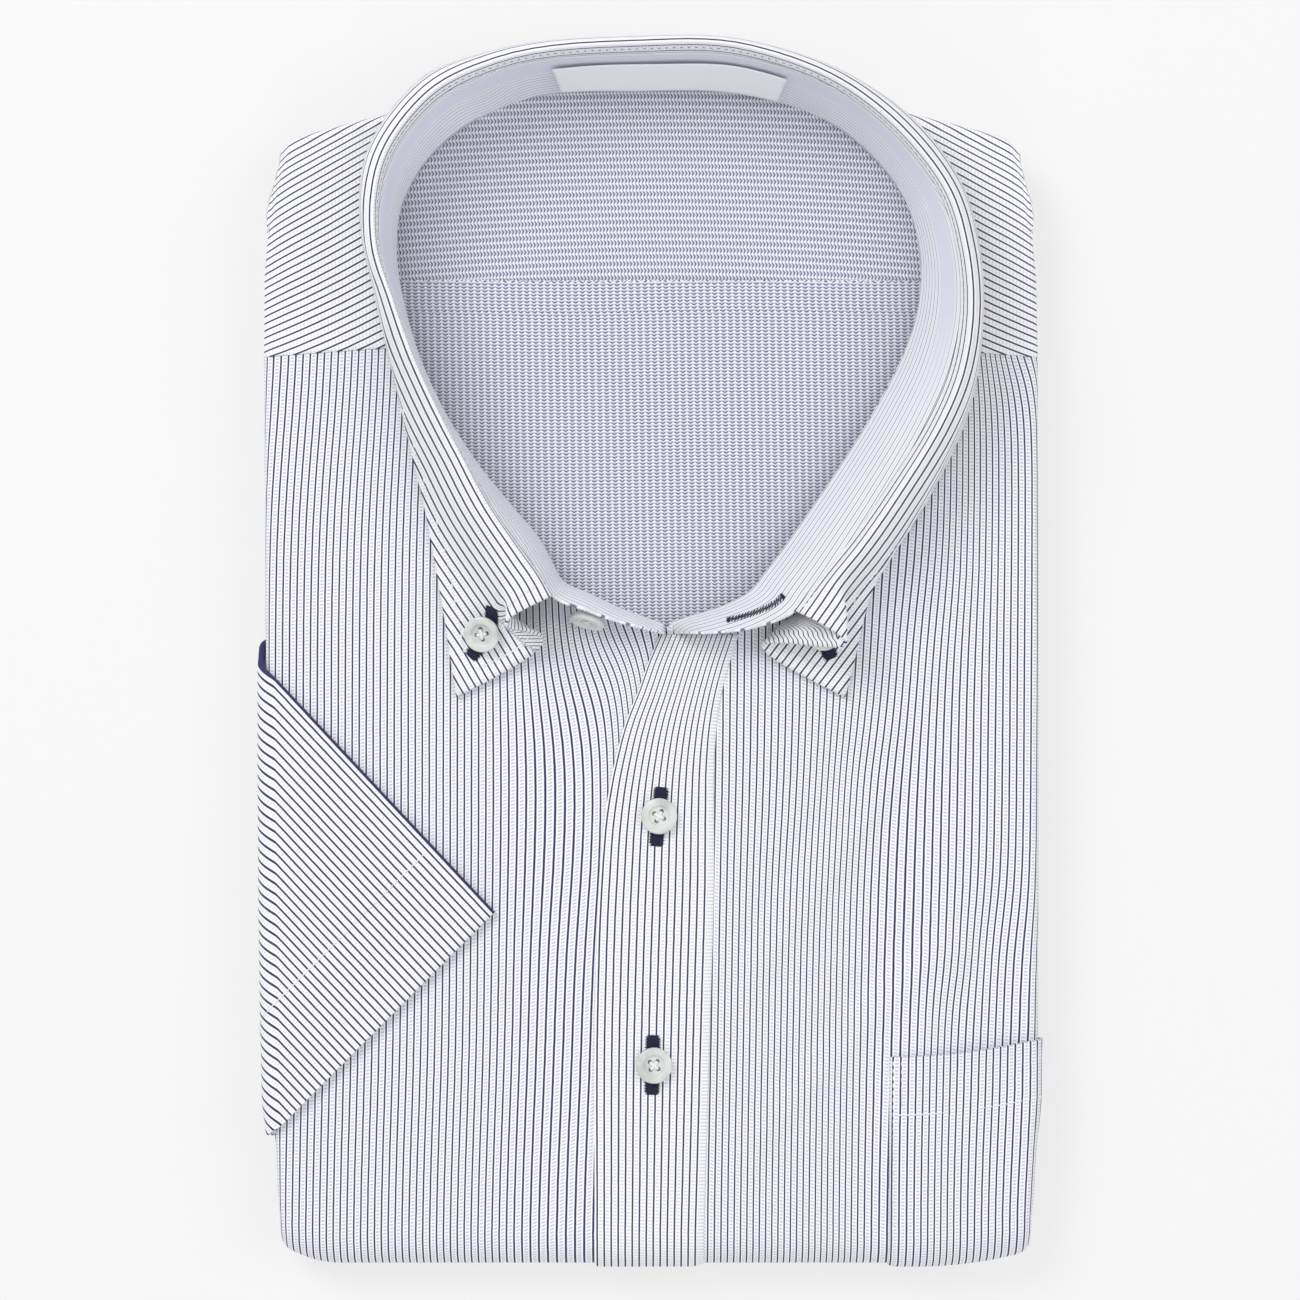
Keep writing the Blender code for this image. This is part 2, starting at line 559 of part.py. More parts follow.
def build_back(parent, material):
    """Build the inside of the back, which shows in the neck opening below the yoke's seam."""
    seam_y = INSIDE_SEAM_Y - GAP
    outline = offset_outline(neck_line(3), WELL_MARGIN - 0.5)
    low = [tuple(point) for point in outline if point[1] < seam_y]
    right_of_middle = [point for point in low if point[0] > FRONT_MEET_X]
    left_of_middle = [point for point in low if point[0] <= FRONT_MEET_X]
    left_of_middle.sort(key=lambda point: -point[1])
    right_of_middle.sort(key=lambda point: point[1])
    points = [(left_of_middle[0][0], seam_y)] + left_of_middle
    points += right_of_middle + [(right_of_middle[-1][0], seam_y)]
    return plate("back", points, INSIDE_TOP, CLOTH, parent, material)


def layer_section(y, left, right, levels):
    """Return one section of the hidden layers: up one side and down the other."""
    up = [(left + inset, y, z) for z, inset in levels]
    down = [(right - inset, y, z) for z, inset in reversed(levels)]
    return up + down


def build_layers(parent, material):
    """Build the hidden layers as one solid, layered at its edges, with a well under the neck."""
    sections = []
    for angle in NOSE_ANGLES:
        drop = NOSE_R * math.sin(angle)
        reach = math.cos(angle)
        levels = [(BOTTOM_FOLD_R + (level.z - BOTTOM_FOLD_R) * reach, LAYER_DEEP) for level in LAYER_LEVELS]
        edges = side_edge(-1, SIDE_EDGES[0].y), side_edge(1, SIDE_EDGES[0].y)
        y = BOTTOM_FOLD_Y + BOTTOM_FOLD_R + NOSE_SETBACK - drop
        sections.append(layer_section(y, edges[0].item(), edges[1].item(), levels))
    for y in LAYER_ROWS:
        levels = [(level.z, level.inset) for level in LAYER_LEVELS]
        sections.append(layer_section(y, side_edge(-1, y).item(), side_edge(1, y).item(), levels))
    high = WELL_FLOOR - 0.05
    low_z, high_z = LAYER_LEVELS[0].z, LAYER_LEVELS[-1].z
    for end in LAYER_TOP_END:
        levels = []
        for level in LAYER_LEVELS:
            share = (level.z - low_z) / (high_z - low_z)
            bulge = LAYER_END_BULGE * (2 * share - 1) ** 2
            levels.append((end.low + share * (high - end.low), bulge))
        sections.append(layer_section(end.y, -end.half, end.half, levels))
    grid = np.array(sections)
    grid = np.concatenate([grid, grid[:, :1]], axis=1)
    mesh = closed_loft("folded_layers", grid)
    layers = add_piece("folded_layers", mesh, parent, material)
    well = offset_outline(neck_line(3), WELL_MARGIN)
    cutter = plate("neck_well", [tuple(p) for p in well], PACK_TOP + 5, 0.0, parent, material, cutter=True)
    cutter.modifiers["cloth_wall"].thickness = (PACK_TOP + 5 - WELL_FLOOR) * MM
    use_boolean(layers, cutter, "DIFFERENCE")
    return layers


def closed_loft(name, grid):
    """Return a closed mesh through ring sections, with its two ends capped."""
    count, around = grid.shape[0], grid.shape[1] - 1
    points = (grid[:, :-1].reshape(-1, 3) * MM).tolist()
    faces = [tuple(range(around)), tuple(range(count * around - 1, (count - 1) * around - 1, -1))]
    for ring in range(count - 1):
        for step in range(around):
            after = (step + 1) % around
            low, high = ring * around, (ring + 1) * around
            faces.append((low + step, high + step, high + after, low + after))
    mesh = bpy.data.meshes.new(name)
    mesh.from_pydata(points, [], faces)
    return mesh


def sleeve_wrap(unrolled_x, y, lift):
    """Return points on the sleeve: over the front, then round the pack's left edge to its middle.

    The sleeve is flat in unrolled_x and y. Lift is the distance out from the face nearest the pack.
    """
    edge = side_edge(-1, y)
    start_x = edge + LIP_R
    arc = np.maximum(start_x - unrolled_x, 0.0)
    outer_r, inner_r = LIP_R + GAP, SLEEVE_TUCK_R
    high_z = PACK_TOP - LIP_R
    quarter = math.pi / 2
    first = np.clip(arc / (outer_r * quarter), 0, 1) * quarter
    left = arc - outer_r * quarter
    down = np.clip(left, 0, high_z - SLEEVE_TUCK_Z)
    left = left - (high_z - SLEEVE_TUCK_Z)
    second = np.clip(left / (inner_r * quarter), 0, 1) * quarter
    back = np.maximum(left - inner_r * quarter, 0)
    turn = first + second
    x = start_x - outer_r * np.sin(first) + inner_r * (1 - np.cos(second)) + back
    x = np.where(arc > 0, x, unrolled_x)
    z = high_z + outer_r * np.cos(first) - down - inner_r * np.sin(second)
    z = np.where(arc > 0, z, pack_top(unrolled_x, y) + GAP)
    return np.stack([x - lift * np.sin(turn), y, z + lift * np.cos(turn)], axis=-1)


def build_sleeve(parent, material):
    """Build the flattened sleeve tube: under ply, top fold, upper ply, open at the hem."""
    tip = np.array(SLEEVE_TIP)
    run = tip - np.array(SLEEVE_FOLD_TOP)
    run /= np.linalg.norm(run)
    across = np.array([math.cos(SLEEVE_HEM_ANGLE), math.sin(SLEEVE_HEM_ANGLE)])
    radius = SLEEVE_THICK / 2
    flat = np.linspace(radius, SLEEVE_HEM_LENGTH, 10)
    rows = [(t, 0.0) for t in flat[::-1]]
    rows += [(radius - radius * math.sin(a), radius - radius * math.cos(a)) for a in SLEEVE_TURNS]
    rows += [(t, SLEEVE_THICK) for t in flat]
    grid = []
    for t, lift in rows:
        hem = tip + t * across
        edge = side_edge(-1, hem[1]).item() + LIP_R
        on_top = max(hem[0] - edge, SLEEVE_TOP_MIN)
        arcs = np.maximum(SLEEVE_WRAP_ARCS, edge - hem[0] + on_top + SLEEVE_ARC_MIN * np.arange(10))
        unrolled_x = np.concatenate([hem[0] - SLEEVE_SHARES * on_top, edge - arcs])
        y = hem[1] + (unrolled_x - hem[0]) * run[1] / run[0]
        grid.append(sleeve_wrap(unrolled_x, y, lift))
    return sheet("sleeve_right", np.array(grid), THIN_CLOTH, parent, material)


def stand_rows():
    """Return neck seam and top edge points of the stand, from one front end to the other."""
    start = [(*row[:2], *row[2:]) for row in STAND_RIGHT_HAND_END]
    end = [(*row[:2], *row[2:]) for row in STAND_LEFT_HAND_END]
    middle = [(row.neck_x, row.neck_y, row.crest_x, row.crest_y, row.crest_z) for row in COLLAR]
    line = smooth_through(start + middle + end, 2)
    return neck_points(line[:, :2], line[:, 2:]), line[:, 2:]


def build_stand(parent, material):
    """Build the band that stands on the neck seam and carries the leaf."""
    neck, crest = stand_rows()
    lowered = np.linspace(0.0, 1.0 - STAND_SEAM - STAND_GAP, 4)
    grid = neck[:, None] + (crest - neck)[:, None] * lowered[None, :, None]
    return sheet("collar_stand", grid, CLOTH, parent, material, flip=True)


def build_leaf(parent, material):
    """Build the collar's leaf: over the crest and down outside, S-rolled at its two front edges."""
    rows = smooth_through([tuple(row) for row in COLLAR], 2)
    columns = dict(zip(Section._fields, rows.T))
    crest = np.column_stack([columns["crest_x"], columns["crest_y"], columns["crest_z"]])
    neck = neck_points(np.column_stack([columns["neck_x"], columns["neck_y"]]), crest)
    edge = np.column_stack([columns["edge_x"], columns["edge_y"], columns["edge_z"]])
    way = edge[:, :2] - crest[:, :2]
    way /= np.linalg.norm(way, axis=1)[:, None]
    away = np.column_stack([way, np.zeros(len(way))])
    beside = np.column_stack([way[:, 1], -way[:, 0], np.zeros(len(way))])
    up = np.array([0.0, 0.0, 1.0])
    leave = crest + away * columns["roll"][:, None] + beside * columns["roll_side"][:, None] + up
    arrive = edge - away * columns["tuck"][:, None] + beside * columns["tuck_side"][:, None]
    arrive = arrive + up * columns["lift"][:, None]
    t = LEAF_STEPS[None, :, None]
    crest, leave, arrive, edge = (p[:, None] for p in (crest, leave, arrive, edge))
    leaf = (1 - t) ** 3 * crest + 3 * (1 - t) ** 2 * t * leave
    leaf = leaf + 3 * (1 - t) * t**2 * arrive + t**3 * edge
    over_pack = leaf[..., 1] < shoulder_line(leaf[..., 0]) + 1.0
    lowest = pack_top(leaf[..., 0], leaf[..., 1]) + CLOTH + 2 * GAP
    leaf[..., 2] = np.where(over_pack, np.maximum(leaf[..., 2], lowest), leaf[..., 2])
    inside = np.array([STAND_SEAM, STAND_SEAM * 0.45])[None, :, None]
    rise = crest + (neck[:, None] - crest) * inside
    grid = np.concatenate([rise, leaf], axis=1)
    return sheet("collar_leaf", grid, CLOTH, parent, material, flip=True)


def build_label(parent, material):
    """Build the bare neck label on the inner face of the stand, at the back."""
    neck, crest = stand_rows()
    rows = np.column_stack([neck, crest])
    x, y = rows[:, 0], rows[:, 1]
    near = (x > LABEL_LEFT_X - LABEL_SEARCH) & (x < LABEL_RIGHT_X + LABEL_SEARCH)
    rows = rows[near & (y > YOKE_UNDER_Y)]
    x = np.linspace(LABEL_LEFT_X, LABEL_RIGHT_X, 9)
    rows = np.column_stack([np.interp(x, rows[:, 0], rows[:, column]) for column in range(6)])
    neck, crest = rows[:, :3], rows[:, 3:]
    rise = crest - neck
    run = np.gradient(neck, axis=0)
    toward_middle = np.cross(rise, run)
    toward_middle /= np.linalg.norm(toward_middle, axis=1)[:, None]
    toward_middle *= -np.sign(toward_middle[:, 1:2])
    moved = neck + toward_middle * (GAP + THIN_CLOTH)
    shares = np.linspace(LABEL_LOW, LABEL_HIGH, 3)
    grid = moved[:, None] + rise[:, None] * shares[None, :, None]
    return sheet("neck_label", grid, THIN_CLOTH, parent, material, flip=True)


def build_button(button, parent, material):
    """Build one button as a turned disc with a raised rim and a dished middle."""
    half = BUTTON_THICK / 2
    profile = [(0.0, 0.35 * half), (0.45, 0.35 * half), (0.66, half), (0.86, half), (1.0, 0.3 * half)]
    profile += [(0.9, -0.7 * half), (0.6, -half), (0.0, -half)]
    mesh = bpy.data.meshes.new(button.name)
    points = [(share * BUTTON_R * MM, 0.0, z * MM) for share, z in profile]
    mesh.from_pydata(points, [(i, i + 1) for i in range(len(points) - 1)], [])
    item = add_piece(button.name, mesh, parent, material)
    turn = item.modifiers.new("turned", "SCREW")
    turn.steps = turn.render_steps = 20
    turn.use_merge_vertices = True
    turn.merge_threshold = 0.00001
    item.location = Vector((button.x, button.y, button.z)) * MM
    item.rotation_mode = "QUATERNION"
    item.rotation_quaternion = Vector(button.axis).to_track_quat("Z", "Y")
    return item


def main():
    """Build the folded shirt in its own collection."""
    clear_scene()
    for name in (COLLECTION_NAME, CUTTERS_NAME):
        bpy.context.scene.collection.children.link(bpy.data.collections.new(name))
    centre = bpy.data.objects.new("shirt_centre", None)
    bpy.data.collections[COLLECTION_NAME].objects.link(centre)
    centre.location = (CENTRE_SHIFT[0] * MM, CENTRE_SHIFT[1] * MM, 0.0)
    build_layers(centre, make_material("hidden_layers", PALE, 0.9))
    build_front("front_right", -1, centre, make_material("right_front_cloth", PALE, 0.9))
    build_front("front_left", 1, centre, make_material("left_front_cloth", PALE, 0.9))
    build_placket(centre, make_material("placket_cloth", PALE, 0.9))
    build_pocket(centre, make_material("pocket_cloth", PALE, 0.9))
    build_yoke(centre, make_material("yoke_cloth", PALE, 0.9))
    build_back(centre, make_material("back_cloth", INSIDE, 0.9))
    build_sleeve(centre, make_material("sleeve_cloth", PALE, 0.9))
    build_stand(centre, make_material("stand_cloth", PALE, 0.9))
    build_leaf(centre, make_material("leaf_cloth", PALE, 0.9))
    build_label(centre, make_material("label_satin", WHITE, 0.5))
    for button in BUTTONS:
        build_button(button, centre, make_material(button.name + "_resin", WHITE, 0.25))


main()
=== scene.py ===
"""A short-sleeved button-down shirt, folded for a shelf and lying face up under soft studio light.

Sizes in the classes are in millimetres, with +X to the wearer's left, +Y to the collar and +Z up. Each
cloth piece is a grid of points worked out from those sizes, and its weave map holds, in millimetres, the
way across the stripes and the way along them.
"""

import logging
import math
from dataclasses import dataclass, field
from enum import Enum
from typing import NamedTuple, Sequence

import bpy
import numpy as np
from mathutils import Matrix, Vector


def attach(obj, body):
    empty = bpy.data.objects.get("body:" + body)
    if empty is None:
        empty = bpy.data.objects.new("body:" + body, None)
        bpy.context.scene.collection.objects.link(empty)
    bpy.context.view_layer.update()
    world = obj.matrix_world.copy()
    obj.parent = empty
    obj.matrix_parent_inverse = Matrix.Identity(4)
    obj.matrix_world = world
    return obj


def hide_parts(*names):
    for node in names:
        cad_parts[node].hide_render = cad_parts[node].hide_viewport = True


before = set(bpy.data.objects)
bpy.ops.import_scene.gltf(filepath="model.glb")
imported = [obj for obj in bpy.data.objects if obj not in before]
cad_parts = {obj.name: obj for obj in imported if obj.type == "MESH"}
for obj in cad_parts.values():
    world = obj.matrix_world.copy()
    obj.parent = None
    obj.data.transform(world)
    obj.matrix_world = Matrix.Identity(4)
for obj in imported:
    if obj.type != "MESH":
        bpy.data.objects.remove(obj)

Array = np.ndarray
Triple = tuple[float, float, float]
MM = 0.001
CENTRE = np.array([0.7, 2.3, 0.0])
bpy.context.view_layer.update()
log = logging.getLogger("folded_shirt")


class Side(Enum):
    """The wearer's two sides, as the sign of x."""

    RIGHT = -1
    LEFT = 1


class Rim(Enum):
    """The four rims of a grid of points."""

    FIRST_ROW = 0
    LAST_ROW = 1
    FIRST_COLUMN = 2
    LAST_COLUMN = 3


def ease(value: Array, start: float, end: float) -> Array:
    """Ease from 0 to 1.

    Args:
        value: Numbers to ease.
        start: Where the result leaves 0.
        end: Where the result reaches 1.

    Returns:
        t squared times 3 - 2t, where t is the way from start to end held between 0 and 1.
    """
    t = np.clip((np.asarray(value, float) - start) / (end - start), 0.0, 1.0)
    return t * t * (3 - 2 * t)


def hump(value: Array, middle: float, width: float) -> Array:
    """Return the bell exp(-d squared), where d is the distance from middle in widths."""
    return np.exp(-np.square((np.asarray(value, float) - middle) / width))


def smooth_through(rows: Sequence[Sequence[float]], per_span: int) -> Array:
    """Carry a smooth curve through rows of numbers.

    Args:
        rows: The rows, whose first two numbers are a place in plan.
        per_span: How many steps lie between two rows.

    Returns:
        Points of the cubic that passes each row with the mean slope of the spans beside it.
    """
    rows = np.asarray(rows, float)
    steps = np.linalg.norm(np.diff(rows[:, :2], axis=0), axis=1)[:, None]
    slopes = np.diff(rows, axis=0) / steps
    tangents = np.vstack([slopes[:1], slopes[:1], slopes[1:]])
    inner = (slopes[:-1] * steps[1:] + slopes[1:] * steps[:-1]) / (steps[:-1] + steps[1:])
    tangents[1:-1] = inner
    t = np.linspace(0.0, 1.0, per_span, endpoint=False)[None, :, None]
    start, end = rows[:-1, None], rows[1:, None]
    leave, arrive = (tangents[:-1] * steps)[:, None], (tangents[1:] * steps)[:, None]
    spans = (
        (2 * t**3 - 3 * t**2 + 1) * start
        + (t**3 - 2 * t**2 + t) * leave
        + (3 * t**2 - 2 * t**3) * end
        + (t**3 - t**2) * arrive
    )
    return np.vstack([spans.reshape(-1, rows.shape[1]), rows[-1:]])


def arc_lengths(points: Array, axis: int) -> Array:
    """Return the distance covered along one axis of a grid of points, from 0."""
    steps = np.linalg.norm(np.diff(points, axis=axis), axis=-1)
    pad = [(0, 0)] * steps.ndim
    pad[axis] = (1, 0)
    return np.pad(np.cumsum(steps, axis=axis), pad)


def unit(vectors: Array) -> Array:
    """Return vectors at length 1."""
    return vectors / np.linalg.norm(vectors, axis=-1, keepdims=True)


def grid_faces(rows: int, columns: int) -> Array:
    """Return the four corners of each face of a grid of points."""
    index = np.arange(rows * columns).reshape(rows, columns)
    corners = [index[:-1, :-1], index[:-1, 1:], index[1:, 1:], index[1:, :-1]]
    return np.stack([corner.ravel() for corner in corners], axis=1)


def offset_outline(points: Array, amounts: float | Array) -> Array:
    """Return a plan outline moved to its left, seen along its run, by the given amounts."""
    tangent = unit(np.gradient(points, axis=0))
    outward = np.column_stack([-tangent[:, 1], tangent[:, 0]])
    return points + outward * np.broadcast_to(amounts, len(points))[:, None]


class ShaderSheet:
    """A material under construction, with short calls for the nodes it needs."""

    def __init__(self, name: str) -> None:
        """Start a Principled material of that name."""
        self.material = bpy.data.materials.new(name)
        self.material.use_nodes = True
        self.tree = self.material.node_tree
        self.shader = self.tree.nodes["Principled BSDF"]

    def node(self, kind: str, **settings: object) -> bpy.types.Node:
        """Add a node and set its properties."""
        made = self.tree.nodes.new(kind)
        for key, value in settings.items():
            setattr(made, key, value)
        return made

    def feed(self, socket: bpy.types.NodeSocket, value: object) -> None:
        """Link a socket to a value's socket, or set it to a number or a colour."""
        if isinstance(value, bpy.types.NodeSocket):
            self.tree.links.new(value, socket)
        elif hasattr(value, "__len__") and len(value) == 3 and socket.type == "RGBA":
            socket.default_value = (*value, 1.0)
        else:
            socket.default_value = value

    def math(self, operation: str, *values: object) -> bpy.types.NodeSocket:
        """Return the result of a Math node on the values."""
        made = self.node("ShaderNodeMath", operation=operation)
        for socket, value in zip(made.inputs, values):
            self.feed(socket, value)
        return made.outputs[0]

    def repeat(self, value: object, pitch: float) -> bpy.types.NodeSocket:
        """Return the way through each pitch of value, from 0 to 1."""
        return self.math("FRACT", self.math("MULTIPLY", value, 1.0 / pitch))

    def from_middle(self, cell: object, scale: float = 1.0) -> bpy.types.NodeSocket:
        """Return how far cell is from a half, times a scale."""
        return self.math("MULTIPLY", self.math("ABSOLUTE", self.math("SUBTRACT", cell, 0.5)), scale)

    def eased(self, value: object, start: float, end: float) -> bpy.types.NodeSocket:
        """Return value eased from 0 at start to 1 at end."""
        made = self.node("ShaderNodeMapRange", interpolation_type="SMOOTHSTEP")
        low, high = (0.0, 1.0) if start < end else (1.0, 0.0)
        for socket, number in zip(made.inputs, (value, min(start, end), max(start, end), low, high)):
            self.feed(socket, number)
        return made.outputs[0]

    def mixed(self, share: object, first: object, second: object) -> bpy.types.NodeSocket:
        """Return a colour that goes from first to second as share goes from 0 to 1."""
        made = self.node("ShaderNodeMix", data_type="RGBA")
        for index, value in ((0, share), (6, first), (7, second)):
            self.feed(made.inputs[index], value)
        return made.outputs[2]

    def weave(self) -> tuple[bpy.types.NodeSocket, bpy.types.NodeSocket]:
        """Return the ways across and along the stripes, in millimetres."""
        split = self.node("ShaderNodeSeparateXYZ")
        source = self.node("ShaderNodeUVMap", uv_map="weave")
        self.tree.links.new(source.outputs["UV"], split.inputs[0])
        return split.outputs[0], split.outputs[1]

    def place(self, scale: float) -> bpy.types.NodeSocket:
        """Return the object's own coordinates, times a scale."""
        centred = self.node("ShaderNodeMapping")
        centred.inputs["Scale"].default_value = (scale, scale, scale)
        source = self.node("ShaderNodeTexCoord")
        self.tree.links.new(source.outputs["Object"], centred.inputs[0])
        return centred.outputs[0]

    def noise(self, size: float, detail: float = 2.0) -> bpy.types.NodeSocket:
        """Return a soft noise whose blotches are about size metres wide."""
        made = self.node("ShaderNodeTexNoise")
        made.inputs["Scale"].default_value = 1.0
        made.inputs["Detail"].default_value = detail
        self.tree.links.new(self.place(1.0 / size), made.inputs["Vector"])
        return made.outputs["Fac"]

    def finish(
        self,
        colour: object,
        roughness: float,
        height: object = None,
        depth: float = 0.0002,
        sheen: float = 0.0,
    ) -> bpy.types.Material:
        """Feed the shader and return the material.

        Args:
            colour: A colour or a socket with one.
            roughness: The same all over the surface.
            height: A socket with a relief from 0 to 1, or None.
            depth: How high a relief of 1 stands, in metres.
            sheen: Weight of the cloth's sheen.

        Returns:
            The finished material.
        """
        self.feed(self.shader.inputs["Base Color"], colour)
        self.shader.inputs["Roughness"].default_value = roughness
        self.shader.inputs["Sheen Weight"].default_value = sheen
        self.shader.inputs["Specular IOR Level"].default_value = 0.25
        if height is not None:
            bump = self.node("ShaderNodeBump")
            bump.inputs["Distance"].default_value = depth
            bump.inputs["Strength"].default_value = 1.0
            self.feed(bump.inputs["Height"], height)
            self.tree.links.new(bump.outputs[0], self.shader.inputs["Normal"])
        return self.material


@dataclass(frozen=True)
class StripedKnit:
    """The shirt's outer face: navy lines on white, with a band of pale dots between two lines."""

    name: str = "striped_knit"
    pitch: float = 2.226
    stitch: float = 1.1
    line: float = 0.53
    navy: Triple = (0.014, 0.013, 0.095)
    white: Triple = (0.99, 0.99, 0.995)
    dot: Triple = (0.60, 0.60, 0.73)
    rest: Triple = (0.925, 0.925, 0.965)

    def material(self) -> bpy.types.Material:
        """Return the cloth's material.

        Returns:
            A material whose lines lie where the way across the weave map passes each half pitch, and
            whose dots repeat along it.
        """
        sheet = ShaderSheet(self.name)
        across, along = sheet.weave()
        wobble = sheet.math("MULTIPLY_ADD", sheet.noise(0.004), 0.14, -0.07)
        off = sheet.from_middle(sheet.repeat(sheet.math("ADD", across, wobble), self.pitch), self.pitch)
        half = self.line / 2
        line = sheet.eased(off, half + 0.09, half - 0.07)
        wave = sheet.from_middle(sheet.repeat(along, self.stitch), 2.0)
        band = sheet.eased(off, 0.52, 0.72)
        dots = sheet.math("MULTIPLY", band, sheet.eased(wave, 0.3, 0.75))
        colour = sheet.mixed(band, self.white, self.rest)
        colour = sheet.mixed(dots, colour, self.dot)
        colour = sheet.mixed(sheet.math("MULTIPLY", line, 0.97), colour, self.navy)
        relief = sheet.math("SUBTRACT", 1.0, sheet.math("MULTIPLY", dots, 0.6))
        relief = sheet.math("SUBTRACT", relief, sheet.math("MULTIPLY", line, 0.3))
        return sheet.finish(colour, 0.92, relief, 0.00012, 0.06)


@dataclass(frozen=True)
class KnitInside:
    """The cloth's inner face: lavender, with ribs of small dark arrow heads."""

    name: str = "knit_inside"
    pitch: float = 2.226
    stitch: float = 1.08
    slant: float = 1.1
    base: Triple = (0.65, 0.65, 0.76)
    # The colour of the painted highlight on each stitch.
    light: Triple = (0.98, 0.98, 1.0)
    dark: Triple = (0.055, 0.05, 0.17)

    def material(self) -> bpy.types.Material:
        """Return the inner face's material.

        Returns:
            A material whose arrow heads sit on each pitch across the weave map and point along it.
        """
        sheet = ShaderSheet(self.name)
        across, along = sheet.weave()
        off = sheet.from_middle(sheet.repeat(across, self.pitch))
        slanted = sheet.math("MULTIPLY_ADD", off, self.slant * self.stitch, along)
        wave = sheet.from_middle(sheet.repeat(slanted, self.stitch), 2.0)
        rib = sheet.eased(off, 0.46, 0.26)
        head = sheet.math("MULTIPLY", rib, sheet.eased(wave, 0.50, 0.82))
        # Painted highlight: a light spot on each stitch between the ribs, mixed towards the light colour.
        shine = sheet.math("MULTIPLY", sheet.eased(wave, 0.55, 0.1), sheet.eased(off, 0.1, 0.4))
        colour = sheet.mixed(shine, self.base, self.light)
        colour = sheet.mixed(sheet.math("MULTIPLY", head, 0.88), colour, self.dark)
        relief = sheet.math("SUBTRACT", 1.0, head)
        return sheet.finish(colour, 0.95, relief, 0.0002, 0.05)


@dataclass(frozen=True)
class StandKnit:
    """The collar stand's inner face: fine lines by its seam and its crest, plain lavender between."""

    name: str = "stand_knit"
    pitch: float = 2.226
    stitch: float = 1.1
    line: float = 0.34
    white: Triple = (0.98, 0.98, 0.99)
    lilac: Triple = (0.70, 0.705, 0.82)
    navy: Triple = (0.05, 0.045, 0.17)

    def material(self) -> bpy.types.Material:
        """Return the stand's material.

        Returns:
            A material with lines along the stand, which fade out where the attribute plain is 1.
        """
        sheet = ShaderSheet(self.name)
        across, along = sheet.weave()
        plain = sheet.node("ShaderNodeAttribute", attribute_name="plain").outputs["Fac"]
        off = sheet.from_middle(sheet.repeat(across, self.pitch), self.pitch)
        shown = sheet.math("SUBTRACT", 1.0, plain)
        line = sheet.math("MULTIPLY", sheet.eased(off, self.line / 2 + 0.1, self.line / 2 - 0.06), shown)
        band = sheet.eased(off, 0.45, 0.75)
        wave = sheet.from_middle(sheet.repeat(along, self.stitch), 2.0)
        lilac = sheet.math("MAXIMUM", sheet.math("MULTIPLY", band, 0.75), plain)
        dots = sheet.math("MULTIPLY", sheet.eased(wave, 0.2, 0.8), 0.35)
        colour = sheet.mixed(lilac, self.white, self.lilac)
        colour = sheet.mixed(dots, colour, self.white)
        colour = sheet.mixed(sheet.math("MULTIPLY", line, 0.8), colour, self.navy)
        relief = sheet.math("MULTIPLY", wave, 0.5)
        return sheet.finish(colour, 0.92, relief, 0.0001, 0.05)


@dataclass(frozen=True)
class Plain:
    """A finish of one colour, with a soft mottle and a fine grain."""

    name: str
    colour: Triple
    roughness: float
    mottle: float = 0.06
    grain: float = 0.0008
    depth: float = 0.00002
    sheen: float = 0.0

    def material(self) -> bpy.types.Material:
        """Return the finish's material."""
        sheet = ShaderSheet(self.name)
        noise = sheet.noise(self.grain * 6, 3.0)
        darker = tuple(part * (1 - self.mottle) for part in self.colour)
        lighter = tuple(min(1.0, part * (1 + self.mottle)) for part in self.colour)
        colour = sheet.mixed(noise, darker, lighter)
        return sheet.finish(colour, self.roughness, sheet.noise(self.grain), self.depth, self.sheen)


